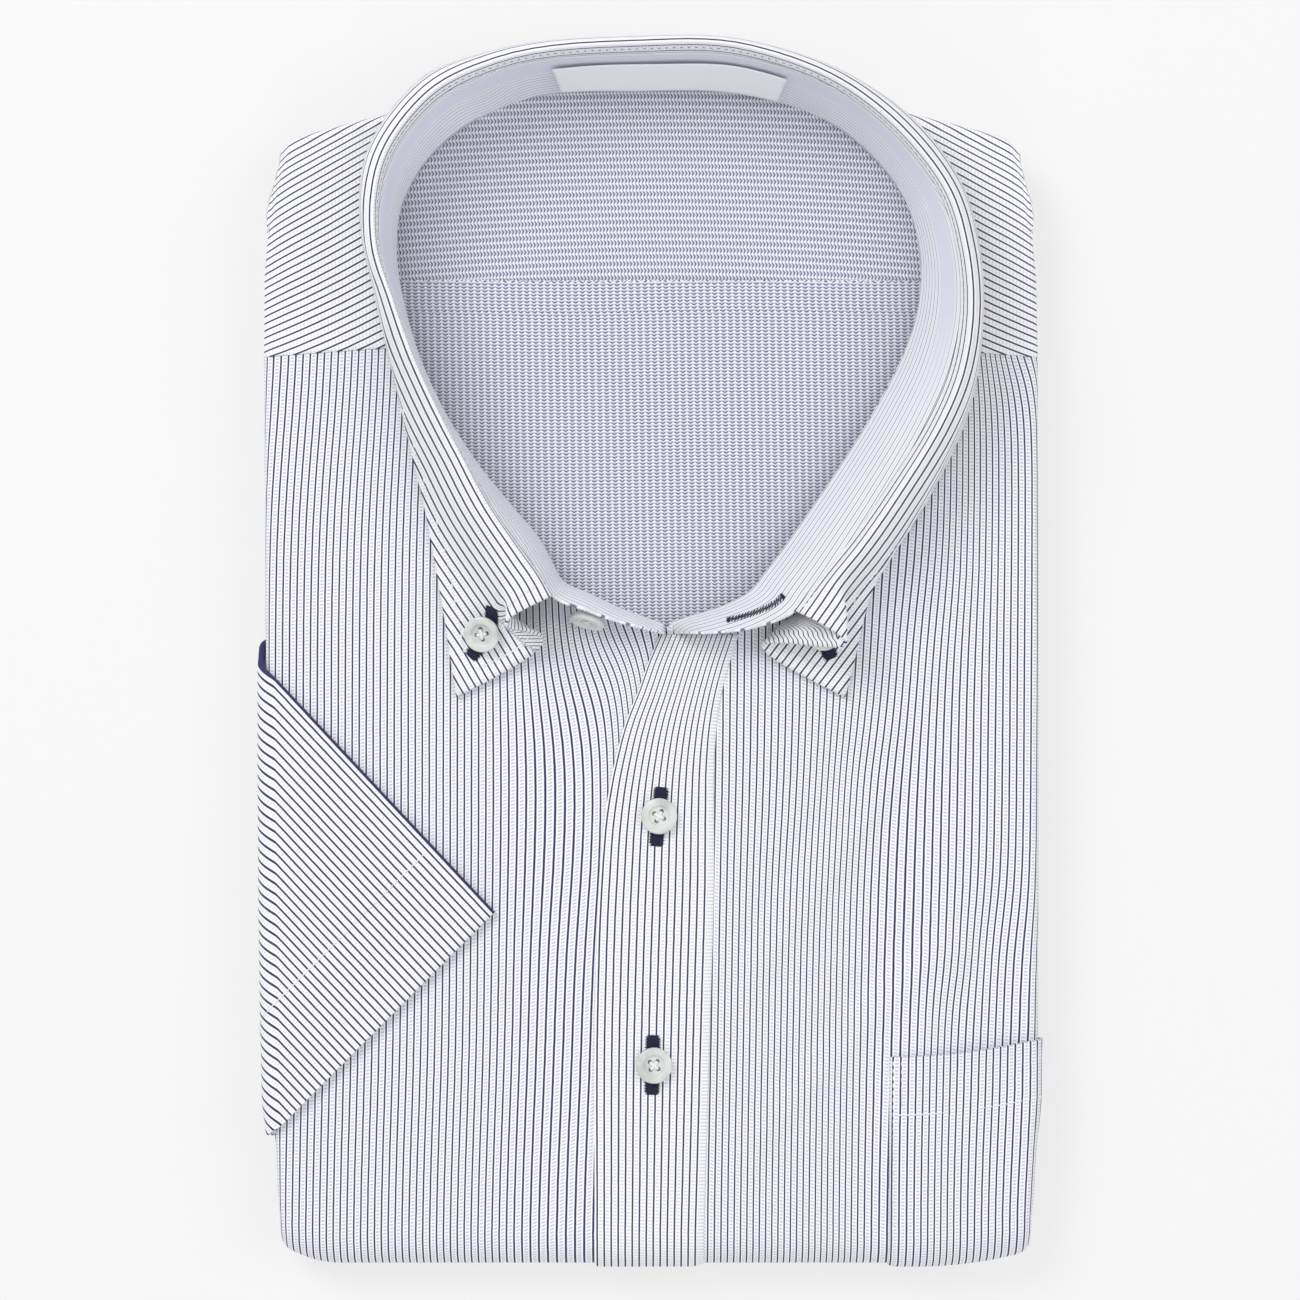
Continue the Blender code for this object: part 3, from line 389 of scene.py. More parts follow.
@dataclass
class GridSurface:
    """A cloth surface: rows and columns of points, with the weave map of each.

    Attributes:
        points: Rows by columns by 3, in millimetres.
        weave: Rows by columns by 2: across and along the stripes.
        flip: Whether the faces turn the other way round than row by column.
    """

    points: Array
    weave: Array
    flip: bool

    def normals(self) -> Array:
        """Return the outward unit normal at each point: the cross of the two grid directions."""
        down = np.gradient(self.points, axis=0)
        over = np.gradient(self.points, axis=1)
        cross = np.cross(over, down)
        cross /= np.maximum(np.linalg.norm(cross, axis=-1, keepdims=True), 1e-9)
        return -cross if self.flip else cross

    def faces(self) -> Array:
        """Return the four corners of each face."""
        quads = grid_faces(*self.points.shape[:2])
        return quads[:, ::-1] if self.flip else quads

    def area(self) -> float:
        """Return the surface's area in square metres, as the sum of its faces' halves."""
        a, b, c, d = (self.points.reshape(-1, 3)[self.faces()[:, k]] for k in range(4))
        first = np.linalg.norm(np.cross(b - a, c - a), axis=1)
        second = np.linalg.norm(np.cross(c - a, d - a), axis=1)
        return float((first + second).sum() / 2 * MM * MM)

    def spans(self) -> tuple[float, float]:
        """Return the longest ways across and along the surface, in metres."""
        across = arc_lengths(self.points, 1)[:, -1].max() * MM
        along = arc_lengths(self.points, 0)[-1].max() * MM
        return float(across), float(along)

    def sample(self, values: Array, rows: Array, columns: Array) -> Array:
        """Return values between grid points, blended from the four around each place."""
        r0 = np.clip(np.floor(rows).astype(int), 0, values.shape[0] - 2)
        c0 = np.clip(np.floor(columns).astype(int), 0, values.shape[1] - 2)
        fr, fc = (rows - r0)[:, None], (columns - c0)[:, None]
        top = values[r0, c0] * (1 - fc) + values[r0, c0 + 1] * fc
        low = values[r0 + 1, c0] * (1 - fc) + values[r0 + 1, c0 + 1] * fc
        return top * (1 - fr) + low * fr

    def inset(self, rim: Rim, distance: float) -> tuple[Array, Array]:
        """Find the line that lies a distance in from one rim.

        Args:
            rim: The rim to keep clear of.
            distance: How far in the line lies along the cloth.

        Returns:
            The rows and columns, as fractions, of the line's points.
        """
        by_column = rim in (Rim.FIRST_COLUMN, Rim.LAST_COLUMN)
        ways = arc_lengths(self.points, 1 if by_column else 0)
        ways = ways if by_column else ways.T
        if rim in (Rim.LAST_COLUMN, Rim.LAST_ROW):
            ways = ways[:, -1:] - ways
            place = [np.interp(-distance, -way, np.arange(len(way))) for way in ways]
        else:
            place = [np.interp(distance, way, np.arange(len(way))) for way in ways]
        steps, place = np.arange(float(len(place))), np.array(place)
        return (steps, place) if by_column else (place, steps)

    def line(self, rows: Array, columns: Array) -> tuple[Array, Array]:
        """Return the points and normals of a line given in grid rows and columns."""
        return self.sample(self.points, rows, columns), unit(self.sample(self.normals(), rows, columns))

    def seam(self, rim: Rim, distance: float, keep: slice) -> tuple[Array, Array]:
        """Return the points and normals of the kept part of the line a distance in from one rim."""
        rows, columns = self.inset(rim, distance)
        return self.line(rows[keep], columns[keep])

    def build(self, name: str, material: bpy.types.Material, wall: float) -> bpy.types.Object:
        """Make the surface an object with a cloth wall behind its outer face.

        Args:
            name: The piece's name.
            material: Its finish.
            wall: The cloth's thickness in millimetres.

        Returns:
            The object, at the origin, with its place in its mesh.
        """
        quads = self.faces()
        points = (self.points.reshape(-1, 3) + CENTRE) * MM
        item = mesh_object(name, points, quads, material)
        layer = item.data.uv_layers.new(name="weave")
        layer.data.foreach_set("uv", self.weave.reshape(-1, 2)[quads].astype(np.float32).ravel())
        cloth = item.modifiers.new("cloth_wall", "SOLIDIFY")
        cloth.thickness = wall * MM
        cloth.offset = -1.0
        return item


def mesh_object(name: str, points: Array, faces: Array, material: bpy.types.Material) -> bpy.types.Object:
    """Make an object from points in metres and faces with equal numbers of corners.

    Args:
        name: The object's name.
        points: Points by 3, in metres.
        faces: Faces by corners, as indices of points.
        material: Its finish.

    Returns:
        The linked, smooth-shaded object.
    """
    mesh = bpy.data.meshes.new(name)
    corners = faces.shape[1]
    mesh.vertices.add(len(points))
    mesh.vertices.foreach_set("co", np.asarray(points, np.float32).ravel())
    mesh.loops.add(faces.size)
    mesh.loops.foreach_set("vertex_index", faces.astype(np.int32).ravel())
    mesh.polygons.add(len(faces))
    mesh.polygons.foreach_set("loop_start", np.arange(0, faces.size, corners, dtype=np.int32))
    mesh.update(calc_edges=True)
    mesh.shade_smooth()
    mesh.materials.append(material)
    item = bpy.data.objects.new(name, mesh)
    bpy.context.scene.collection.objects.link(item)
    return item


def set_attribute(item: bpy.types.Object, name: str, values: Array) -> None:
    """Store one number for each of an object's points."""
    made = item.data.attributes.new(name, "FLOAT", "POINT")
    made.data.foreach_set("value", np.asarray(values, np.float32).ravel())


@dataclass
class Piece:
    """A cloth piece and how it is tied to the frame.

    Attributes:
        name: Its name.
        surface: The surface it is made from.
        material: Its finish.
        wall: The cloth's thickness in millimetres.
        on: The solid it lies on; not used.
        node: The solid it stands for, or nothing where another piece stands for it.
        held: How the cloth is held; not used.
        slot: The record's material slot; not used.
    """

    name: str
    surface: GridSurface
    material: bpy.types.Material
    wall: float
    on: str
    node: str
    held: str = "folded"
    slot: str = "shirt_cloth"

    def make(self) -> bpy.types.Object:
        """Build the piece, tie it to the frame and state its cut."""
        item = self.surface.build(self.name, self.material, self.wall)
        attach(item, "root")
        if self.node:
            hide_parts(self.node)
        across, along = self.surface.spans()
        area = min(self.surface.area(), across * along)
        log.info("%s: %.0f by %.0f mm, %.4f square metres", self.name, across / MM, along / MM, area)
        return item


class Edge(NamedTuple):
    """The pack's two side edges at one y."""

    y: float
    left: float
    right: float


class Corner(NamedTuple):
    """How a fold's line pulls in at a corner: from start, over reach, by rise."""

    start: float
    reach: float
    rise: float


class Fold(NamedTuple):
    """A soft ridge, or a trough where its height is below 0, along a line in plan."""

    x0: float
    y0: float
    x1: float
    y1: float
    height: float
    width: float


class Lean(NamedTuple):
    """A place where the stripes lean: lean is their run to +x for each step down the shirt."""

    x: float
    y: float
    wide: float
    high: float
    lean: float


class Section(NamedTuple):
    """One section of the collar, from the neck seam over the crest to the leaf's edge."""

    neck_x: float
    neck_y: float
    crest_x: float
    crest_y: float
    crest_z: float
    edge_x: float
    edge_y: float
    edge_z: float
    roll: float
    tuck: float
    lift: float
    roll_side: float
    tuck_side: float


class StandEnd(NamedTuple):
    """One section of the stand's front end: its seam and its top edge."""

    neck_x: float
    neck_y: float
    top_x: float
    top_y: float
    top_z: float


COLLAR = [
    Section(-28.0, 22.5, -31.0, 16.5, 45.0, -61.5, -15.0, 24.2, 46, 70, 0, 18.7, -25.7),
    Section(-31.0, 28.0, -35.0, 23.0, 46.0, -63.5, -2.0, 24.2, 27, 37, 0, 5, -7),
    Section(-34.5, 34.5, -40.5, 30.5, 47.0, -65.5, 11.0, 24.2, 14, 20, 0, 0, 0),
    Section(-43.5, 45.5, -50.0, 44.5, 49.0, -70.5, 39.5, 24.2, 9, 6, 5, 0, 0),
    Section(-54.5, 59.0, -58.5, 60.5, 51.0, -76.0, 63.5, 24.2, 8, 3, 8, 0, 0),
    Section(-65.0, 74.5, -66.0, 75.0, 53.0, -81.5, 86.5, 24.2, 7, 1, 10, 0, 0),
    Section(-73.0, 92.0, -73.5, 91.5, 54.0, -85.5, 103.5, 24.0, 7, 0, 12, 0, 0),
    Section(-78.0, 109.5, -79.5, 108.5, 54.0, -88.0, 116.0, 23.6, 7, -1, 12, 0, 0),
    Section(-80.5, 129.0, -85.0, 127.0, 54.0, -90.5, 131.0, 23.4, 6, -2, 12, 0, 0),
    Section(-79.0, 141.5, -85.0, 141.0, 54.0, -91.0, 144.5, 23.2, 6, -2, 12, 0, 0),
    Section(-72.5, 154.5, -81.0, 155.5, 54.0, -87.5, 160.0, 23.0, 6, -2, 12, 0, 0),
    Section(-60.0, 166.5, -68.0, 172.0, 54.0, -73.0, 179.5, 20.0, 6, -2, 12, 0, 0),
    Section(-41.5, 175.5, -48.0, 182.0, 54.0, -51.0, 188.5, 16.0, 5, -2, 12, 0, 0),
    Section(-3.0, 178.5, -3.0, 187.5, 54.0, -3.0, 192.0, 15.0, 5, -2, 12, 0, 0),
    Section(29.0, 177.5, 31.0, 186.0, 54.0, 33.5, 190.5, 15.0, 5, -2, 12, 0, 0),
    Section(52.5, 171.0, 59.0, 175.5, 53.5, 63.0, 181.0, 18.0, 5, -2, 12, 0, 0),
    Section(69.5, 159.0, 79.0, 159.5, 53.0, 86.0, 164.0, 22.8, 6, -2, 12, 0, 0),
    Section(79.5, 146.5, 91.0, 144.0, 52.5, 97.5, 147.0, 23.2, 6, -2, 12, 0, 0),
    Section(85.5, 129.0, 97.0, 126.5, 52.0, 103.0, 126.5, 23.4, 6, -2, 12, 0, 0),
    Section(85.0, 108.0, 99.0, 105.0, 51.5, 104.5, 104.0, 23.8, 6, -1, 11, 0, 0),
    Section(80.5, 94.0, 97.0, 89.5, 51.0, 103.0, 85.0, 24.0, 6, -1, 10, 0, 0),
    Section(71.0, 75.5, 89.5, 70.0, 50.0, 97.0, 65.0, 24.2, 6, 0, 9, 0, 0),
    Section(60.0, 58.0, 76.0, 48.0, 48.5, 86.0, 43.5, 24.2, 7, 1, 8, 0, 0),
    Section(49.5, 42.5, 66.0, 33.5, 47.0, 76.0, 28.0, 24.2, 8, 3, 6, 0, 0),
    Section(39.5, 28.5, 56.0, 21.0, 45.0, 68.5, 12.0, 24.2, 14, 17, 0, -2, 2),
    Section(36.0, 24.0, 52.0, 16.0, 44.5, 65.5, -1.0, 24.2, 32, 50, 0, -19, 29),
    Section(32.5, 19.5, 48.0, 11.0, 44.0, 62.0, -15.0, 24.2, 46, 66, 0, -32, 48),
]
RIGHT_END = [
    StandEnd(4.2, 8.5, 5.0, 5.0, 28.0),
    StandEnd(-1.0, 10.3, -2.0, 6.6, 36.0),
    StandEnd(-9.5, 13.5, -11.5, 9.0, 40.0),
    StandEnd(-19.0, 18.0, -20.5, 12.0, 43.0),
]
LEFT_END = [
    StandEnd(24.0, 14.5, 34.5, 6.0, 42.0),
    StandEnd(16.0, 11.8, 22.0, 4.6, 39.5),
    StandEnd(10.5, 10.2, 13.0, 4.8, 36.0),
    StandEnd(6.8, 9.0, 7.6, 5.0, 28.0),
]


@dataclass
class Pack:
    """The folded stack's outline and faces, which every cloth piece is worked out from."""

    top: float = 22.0
    cloth: float = 1.2
    gap: float = 0.3
    bottom_y: float = -196.4
    tail_y: float = 146.0
    shoulder_y: float = 180.0
    shoulder_r: float = 3.2
    shoulder_drop: float = 1.2
    lip_r: float = 3.0
    lip_return: float = 9.0
    meet_x: float = 5.0
    neck_low_y: float = 8.9
    front_top: float = 96.0
    yoke_seam_y: float = 98.5
    inside_seam_y: float = 118.3
    edges: Sequence[Edge] = (
        Edge(y=-185.4, left=-118.0, right=120.3),
        Edge(y=-179.0, left=-118.6, right=120.9),
        Edge(y=-160.0, left=-119.0, right=121.8),
        Edge(y=-144.0, left=-121.0, right=123.6),
        Edge(y=0.0, left=-122.4, right=124.0),
        Edge(y=96.0, left=-123.0, right=123.6),
        Edge(y=140.0, left=-122.8, right=122.8),
        Edge(y=150.0, left=-121.5, right=121.5),
        Edge(y=158.0, left=-118.0, right=118.0),
    )
    bottom_right: Corner = Corner(start=99.0, reach=20.0, rise=6.4)
    bottom_left: Corner = Corner(start=85.0, reach=34.0, rise=4.4)
    shoulder_corner: Corner = Corner(start=112.0, reach=7.0, rise=5.0)
    folds: Sequence[Fold] = (
        Fold(x0=100.0, y0=24.0, x1=71.0, y1=-30.0, height=1.6, width=7.0),
        Fold(x0=71.0, y0=-30.0, x1=64.0, y1=-66.0, height=0.8, width=8.0),
        Fold(x0=90.0, y0=14.0, x1=62.0, y1=-34.0, height=-0.9, width=7.0),
        Fold(x0=98.0, y0=-98.0, x1=91.0, y1=-116.0, height=0.8, width=6.0),
        Fold(x0=-31.0, y0=0.0, x1=-21.0, y1=-40.0, height=-1.3, width=7.0),
        Fold(x0=-44.0, y0=-22.0, x1=-28.0, y1=-62.0, height=0.8, width=10.0),
        Fold(x0=66.0, y0=-34.0, x1=30.0, y1=-92.0, height=-1.1, width=5.0),
        Fold(x0=76.0, y0=-42.0, x1=36.0, y1=-100.0, height=1.4, width=5.0),
        Fold(x0=84.0, y0=-90.0, x1=34.0, y1=-146.0, height=-1.0, width=5.0),
        Fold(x0=92.0, y0=-94.0, x1=28.0, y1=-162.0, height=1.3, width=5.0),
        Fold(x0=117.0, y0=-74.0, x1=98.0, y1=-112.0, height=-1.0, width=5.0),
        Fold(x0=-112.0, y0=-170.0, x1=-60.0, y1=-120.0, height=-0.3, width=12.0),
    )
    leans: Sequence[Lean] = (
        Lean(x=-104.0, y=66.0, wide=45.0, high=34.0, lean=-0.080),
        Lean(x=-60.0, y=-150.0, wide=80.0, high=34.0, lean=-0.034),
        Lean(x=-24.0, y=-12.0, wide=16.0, high=20.0, lean=0.17),
        Lean(x=-10.0, y=0.0, wide=12.0, high=13.0, lean=0.40),
        Lean(x=-22.0, y=-80.0, wide=22.0, high=26.0, lean=-0.05),
        Lean(x=118.0, y=93.0, wide=14.0, high=15.0, lean=0.33),
        Lean(x=88.0, y=16.0, wide=17.0, high=26.0, lean=-0.10),
        Lean(x=70.0, y=-28.0, wide=15.0, high=22.0, lean=-0.11),
        Lean(x=50.0, y=-60.0, wide=20.0, high=24.0, lean=-0.055),
        Lean(x=112.0, y=-86.0, wide=14.0, high=16.0, lean=-0.10),
        Lean(x=96.0, y=-108.0, wide=9.0, high=10.0, lean=-0.10),
        Lean(x=112.0, y=-150.0, wide=26.0, high=22.0, lean=-0.075),
        Lean(x=60.0, y=-90.0, wide=70.0, high=90.0, lean=-0.018),
    )

    def relief(self, x: Array, y: Array) -> Array:
        """Return the soft folds' height: a bell across each fold's line, rounded past its ends."""
        relief = np.zeros(np.broadcast(x, y).shape)
        for fold in self.folds:
            run_x, run_y = fold.x1 - fold.x0, fold.y1 - fold.y0
            length = math.hypot(run_x, run_y)
            along = ((x - fold.x0) * run_x + (y - fold.y0) * run_y) / length
            across = ((x - fold.x0) * run_y - (y - fold.y0) * run_x) / length
            past_end = along - np.clip(along, 0, length)
            relief = relief + fold.height * np.exp(-(past_end**2 + across**2) / fold.width**2)
        return relief

    def face(self, x: Array, y: Array) -> Array:
        """Return the height of the top layer's upper face: flat, with folds, dropping to the shoulder."""
        free = ease(-np.abs(x), -116.0, -106.0) * ease(y, -178.0, -160.0)
        free = free * ease(np.abs(x - 3.0), 21.0, 33.0)
        return self.top - self.shoulder_drop * ease(y, 60.0, 165.0) + self.relief(x, y) * free

    def edge(self, side: Side, y: Array) -> Array:
        """Return the x of the pack's edge on one side, at each y."""
        places = [row.left if side is Side.RIGHT else row.right for row in self.edges]
        return np.interp(y, [row.y for row in self.edges], places)

    def pull(self, corner: Corner, x: Array) -> Array:
        """Return how far a rounded corner pulls a fold's line in: the square of the way into it."""
        return corner.rise * np.clip((np.abs(x) - corner.start) / corner.reach, 0.0, 1.2) ** 2

    def bottom_start(self, x: Array) -> Array:
        """Return the y where the bottom fold's round begins."""
        rise = np.where(x < 0, self.pull(self.bottom_right, x), self.pull(self.bottom_left, x))
        return self.fold_y + rise

    def shoulder(self, x: Array) -> Array:
        """Return the y of the shoulder fold's outer edge: a shallow arch with rounded corners."""
        return self.shoulder_y - 0.0013 * np.square(x) - self.pull(self.shoulder_corner, x)

    def yoke_seam(self, x: Array) -> Array:
        """Return the y of the seam between yoke and front: a shallow arch."""
        return self.yoke_seam_y - 0.00035 * np.square(x)

    @property
    def inside_top(self) -> float:
        """Return the height of the ply that shows inside the neck."""
        return self.top - self.shoulder_drop - 2 * self.shoulder_r + self.cloth - 0.05

    def neck_line(self, per_span: int) -> Array:
        """Return points of the neck seam, all round, in plan."""
        start = [(row.neck_x, row.neck_y) for row in RIGHT_END]
        end = [(row.neck_x, row.neck_y) for row in LEFT_END]
        return smooth_through(start + [(row.neck_x, row.neck_y) for row in COLLAR] + end, per_span)

    def neck_side(self, side: Side, y: Array) -> Array:
        """Return the neck seam's x on one side, at each y."""
        line = self.neck_line(12)
        top = int(np.argmax(line[:, 1]))
        half = line[: top + 1] if side is Side.RIGHT else line[top:][::-1]
        return np.interp(y, np.maximum.accumulate(half[:, 1]), half[:, 0])

    @property
    def fold_y(self) -> float:
        """Return the y where the bottom fold's round begins, away from its corners."""
        return self.bottom_y + self.top / 2

    @property
    def last_row(self) -> float:
        """Return the y of the top's last row, just short of the bottom fold."""
        return self.fold_y + 0.6

    def round_fold(self, angles: Array) -> Array:
        """Return the y round the bottom fold at each angle, away from its corners."""
        return self.fold_y - self.top / 2 * np.sin(angles)

    def drift(self, x: Array, y: Array) -> Array:
        """Return how far the stripes have moved aside at a place.

        Each lean adds lean times high times tanh of the way from its y, under a bell across x, so that
        a stripe's slope there is the lean.
        """
        moved = np.zeros(np.broadcast(x, y).shape)
        for lean in self.leans:
            turned = np.tanh((y - lean.y) / lean.high) + np.tanh(lean.y / lean.high)
            moved = moved + lean.lean * lean.high * turned * hump(x, lean.x, lean.wide)
        return moved

    def run_down(
        self, x: Array, rows_y: Array, end: float, turns: int, tail: Array
    ) -> tuple[Array, Array, Array]:
        """Return the way down the top, round the bottom fold and under the pack.

        Args:
            x: Rows by columns of x.
            rows_y: The y of each row on the top.
            end: The angle at which the way ends, if it has no tail.
            turns: How many rows go round the bottom fold.
            tail: Shares of the way under the pack, or none.

        Returns:
            y and z of the face and the inward direction's y and z, each rows by columns, the last two
            stacked. Round the fold a point is at start - R sin a and R + R cos a.
        """
        radius = self.top / 2
        start = self.bottom_start(x)
        count = len(rows_y)
        angles = np.linspace(0, end, turns)
        y, z, inward_y, inward_z = (np.zeros_like(x) for _ in range(4))
        y[:count] = rows_y[:, None]
        y[:count] += ease(y[:count], -150.0, rows_y[-1]) * (start[:count] - self.fold_y)
        z[:count] = self.face(x[:count], y[:count])
        inward_z[:count] = -1.0
        bend = slice(count, count + turns)
        y[bend] = start[bend] - radius * np.sin(angles)[:, None]
        z[bend] = radius * (1 + np.cos(angles))[:, None]
        inward_y[bend] = np.sin(angles)[:, None]
        inward_z[bend] = -np.cos(angles)[:, None]
        rest = slice(count + turns, None)
        y[rest] = start[rest] + tail[:, None] * (self.tail_y - start[rest])
        inward_z[rest] = 1.0
        return y, z, np.stack([inward_y, inward_z])

    def rolled(self, inner: Array, edge: Array, flat: Array, bend: Array, back: int) -> tuple[Array, Array]:
        """Return x and depth across a piece: flat to the side, then rolled under at its edge.

        Args:
            inner: The x where each row starts.
            edge: The x of the pack's edge in each row.
            flat: Shares of the flat part.
            bend: Angles of the rolled part.
            back: How many columns the flat return has.

        Returns:
            Rows by columns of x, and of the depth below the face: r(1 - sin) and r(1 - cos).
        """
        side = np.sign(edge - inner)[:, None]
        x_flat = inner[:, None] + flat * (edge[:, None] - side * self.lip_r - inner[:, None])
        returned = np.linspace(self.lip_r, self.lip_return, back + 1)[1:]
        inward = np.concatenate([self.lip_r * (1 - np.sin(bend)), returned])
        depth = np.concatenate([0 * flat, self.lip_r * (1 - np.cos(bend)), 0 * returned + 2 * self.lip_r])
        x = np.concatenate([x_flat, edge[:, None] - side * inward], axis=1)
        return x, np.broadcast_to(depth, x.shape)


@dataclass
class Fronts:
    """The shirt's two fronts: top, rolled side edges, bottom fold and the part under the pack."""

    pack: Pack
    rows_neck: int = 60
    rows_body: int = 84
    turns: int = 26
    columns: int = 96

    def surface(self, side: Side) -> GridSurface:
        """Work out one front.

        Args:
            side: The wearer's side.

        Returns:
            Its surface. Stripes run at x plus the pack's drift, and go on round each edge by arc length.
        """
        pack = self.pack
        neck = np.linspace(pack.front_top, pack.neck_low_y, self.rows_neck)
        rows_y = np.concatenate([neck, np.linspace(pack.neck_low_y, pack.last_row, self.rows_body + 1)[1:]])
        tail = np.linspace(0.0, 1.0, 26)[1:]
        angles = np.linspace(0, math.pi, self.turns)
        under = pack.fold_y + tail * (pack.tail_y - pack.fold_y)
        nominal = np.concatenate([rows_y, pack.round_fold(angles), under])
        inner = pack.meet_x * ease(nominal, -190.0, 0.0) + side.value * pack.gap / 2
        seam = pack.neck_side(side, nominal)
        on_neck = np.arange(len(nominal)) < len(neck)
        beyond = np.minimum(inner, seam) if side is Side.RIGHT else np.maximum(inner, seam)
        inner = np.where(on_neck, beyond, inner)
        edge = pack.edge(side, np.maximum(nominal, pack.fold_y))
        flat = np.linspace(0.0, 1.0, self.columns, endpoint=False)
        x, depth = pack.rolled(inner, edge, flat, np.linspace(0, math.pi, 14), 4)
        y, z, inward = pack.run_down(x, rows_y, math.pi, self.turns, tail)
        count = len(rows_y)
        arched = pack.yoke_seam(x[:count]) - pack.front_top
        y[:count] += ease(rows_y, 60.0, pack.front_top)[:, None] * arched
        z[:count] = pack.face(x[:count], y[:count])
        points = np.stack([x, y + depth * inward[0], z + depth * inward[1]], axis=-1)
        over = arc_lengths(points, 1)
        last = self.columns
        fixed_y = np.where(np.arange(len(y))[:, None] < count, y, pack.bottom_start(x))
        across = x + pack.drift(x, fixed_y)
        rolled_on = across[:, last : last + 1] + side.value * (over[:, last:] - over[:, last : last + 1])
        across = np.concatenate([across[:, :last], rolled_on], axis=1)
        weave = np.stack([across, arc_lengths(points, 0)], axis=-1)
        return GridSurface(points, weave, side is Side.LEFT)


@dataclass
class Placket:
    """The button band over the meeting edges of the fronts."""

    pack: Pack
    top_y: float = 5.0
    width: float = 34.8
    rim: float = 0.62
    strip: float = 1.15
    wall: float = 1.0
    end: float = math.radians(115)
    y: Sequence[float] = (-185.4, -111.0, -73.0, -52.5, -35.0, -23.0, -13.0, -4.0, 5.0)
    left: Sequence[float] = (-17.6, -17.4, -16.0, -14.3, -11.1, -7.8, -3.8, -0.6, 3.2)
    right: Sequence[float] = (17.2, 19.4, 20.4, 20.4, 20.5, 21.4, 23.0, 25.4, 28.3)

    def surface(self) -> GridSurface:
        """Work out the band: it lies a wall and a gap above the fronts and eases down at its edges."""
        pack = self.pack
        rows_y = np.linspace(self.top_y, pack.last_row, 128)
        angles = np.linspace(0, self.end, 20)
        nominal = np.concatenate([rows_y, pack.round_fold(angles)])
        smooth = smooth_through(list(zip(self.y, self.left, self.right)), 6)
        left = np.interp(nominal, smooth[:, 0], smooth[:, 1])
        right = np.interp(nominal, smooth[:, 0], smooth[:, 2])
        shares = np.sort(np.append(np.linspace(0.0, 1.0, 44), [0.004, 0.01, 0.016, 0.955, 0.966, 0.99]))
        x = left[:, None] + shares * (right - left)[:, None]
        y, z, inward = pack.run_down(x, rows_y, self.end, len(angles), np.zeros(0))
        fold, seam = np.exp(-shares * self.width / 0.7), np.exp(-(1 - shares) * self.width / 1.8)
        lift = pack.gap + self.wall - 0.4 * fold - 1.12 * seam
        puff = 0.25 * np.sin(np.pi * shares) * hump(y, -90.0, 60.0)
        puff = puff * (inward[1] < -0.99)
        points = np.stack([x, y - lift * inward[0], z - lift * inward[1] + puff], axis=-1)
        across = np.clip(shares * self.width + 0.3, self.rim, self.width - self.strip)
        across = np.broadcast_to(across, x.shape)
        return GridSurface(points, np.stack([across, arc_lengths(points, 0)], axis=-1), True)


@dataclass
class Pocket:
    """The chest pocket, from its hem to the bottom fold and round the pack's side."""

    pack: Pack
    top_y: float = -129.3
    left_x: float = 76.0
    reach: float = 48.0
    slant: float = 0.12
    wall: float = 1.0
    hem: float = 18.5

    def surface(self) -> GridSurface:
        """Work out the pocket: it follows the front's face and rolled edge, a wall and a gap outside it."""
        pack = self.pack
        rows_y = np.linspace(self.top_y, pack.last_row, 56)
        end = math.pi / 2
        angles = np.linspace(0, end, 16)
        nominal = np.concatenate([rows_y, pack.round_fold(angles)])
        edge = pack.edge(Side.LEFT, np.maximum(nominal, pack.fold_y))
        inner = np.full(len(nominal), self.left_x)
        flat = np.linspace(0.0, 1.0, 44, endpoint=False)
        bend = np.linspace(0, math.radians(126), 10)
        x, depth = pack.rolled(inner, edge, flat, bend, 1)
        keep = len(flat) + len(bend)
        x, depth = x[:, :keep], depth[:, :keep]
        turn = np.concatenate([0 * flat, bend])
        y, z, inward = pack.run_down(x, rows_y, end, len(angles), np.zeros(0))
        count = len(rows_y)
        fade = ease(-rows_y, -self.top_y, 150.0)[:, None]
        way = np.clip((x[:count] - self.left_x) / self.reach, 0.0, 1.0)
        y[:count] += (1 - fade) * (self.slant * self.reach * way**2)
        z[:count] = pack.face(x[:count], y[:count])
        rim = np.exp(-(x - self.left_x))
        mouth = np.zeros_like(x)
        mouth[:count] = 1.6 * np.exp((rows_y - self.top_y) / 4.0)[:, None] * ease(way, 0.15, 0.6)
        mouth = mouth * np.clip(np.cos(turn), 0.2, 1.0)
        lift = pack.gap + self.wall - 0.95 * rim + mouth
        deep = depth - lift * np.cos(turn)
        points = np.stack([x + lift * np.sin(turn), y + deep * inward[0], z + deep * inward[1]], axis=-1)
        over = arc_lengths(points, 1)
        fixed_y = np.where(np.arange(len(y))[:, None] < count, y, pack.bottom_start(x))
        across = self.left_x + 0.5 + over + 0.5 * pack.drift(x, fixed_y)
        return GridSurface(points, np.stack([across, arc_lengths(points, 0)], axis=-1), True)


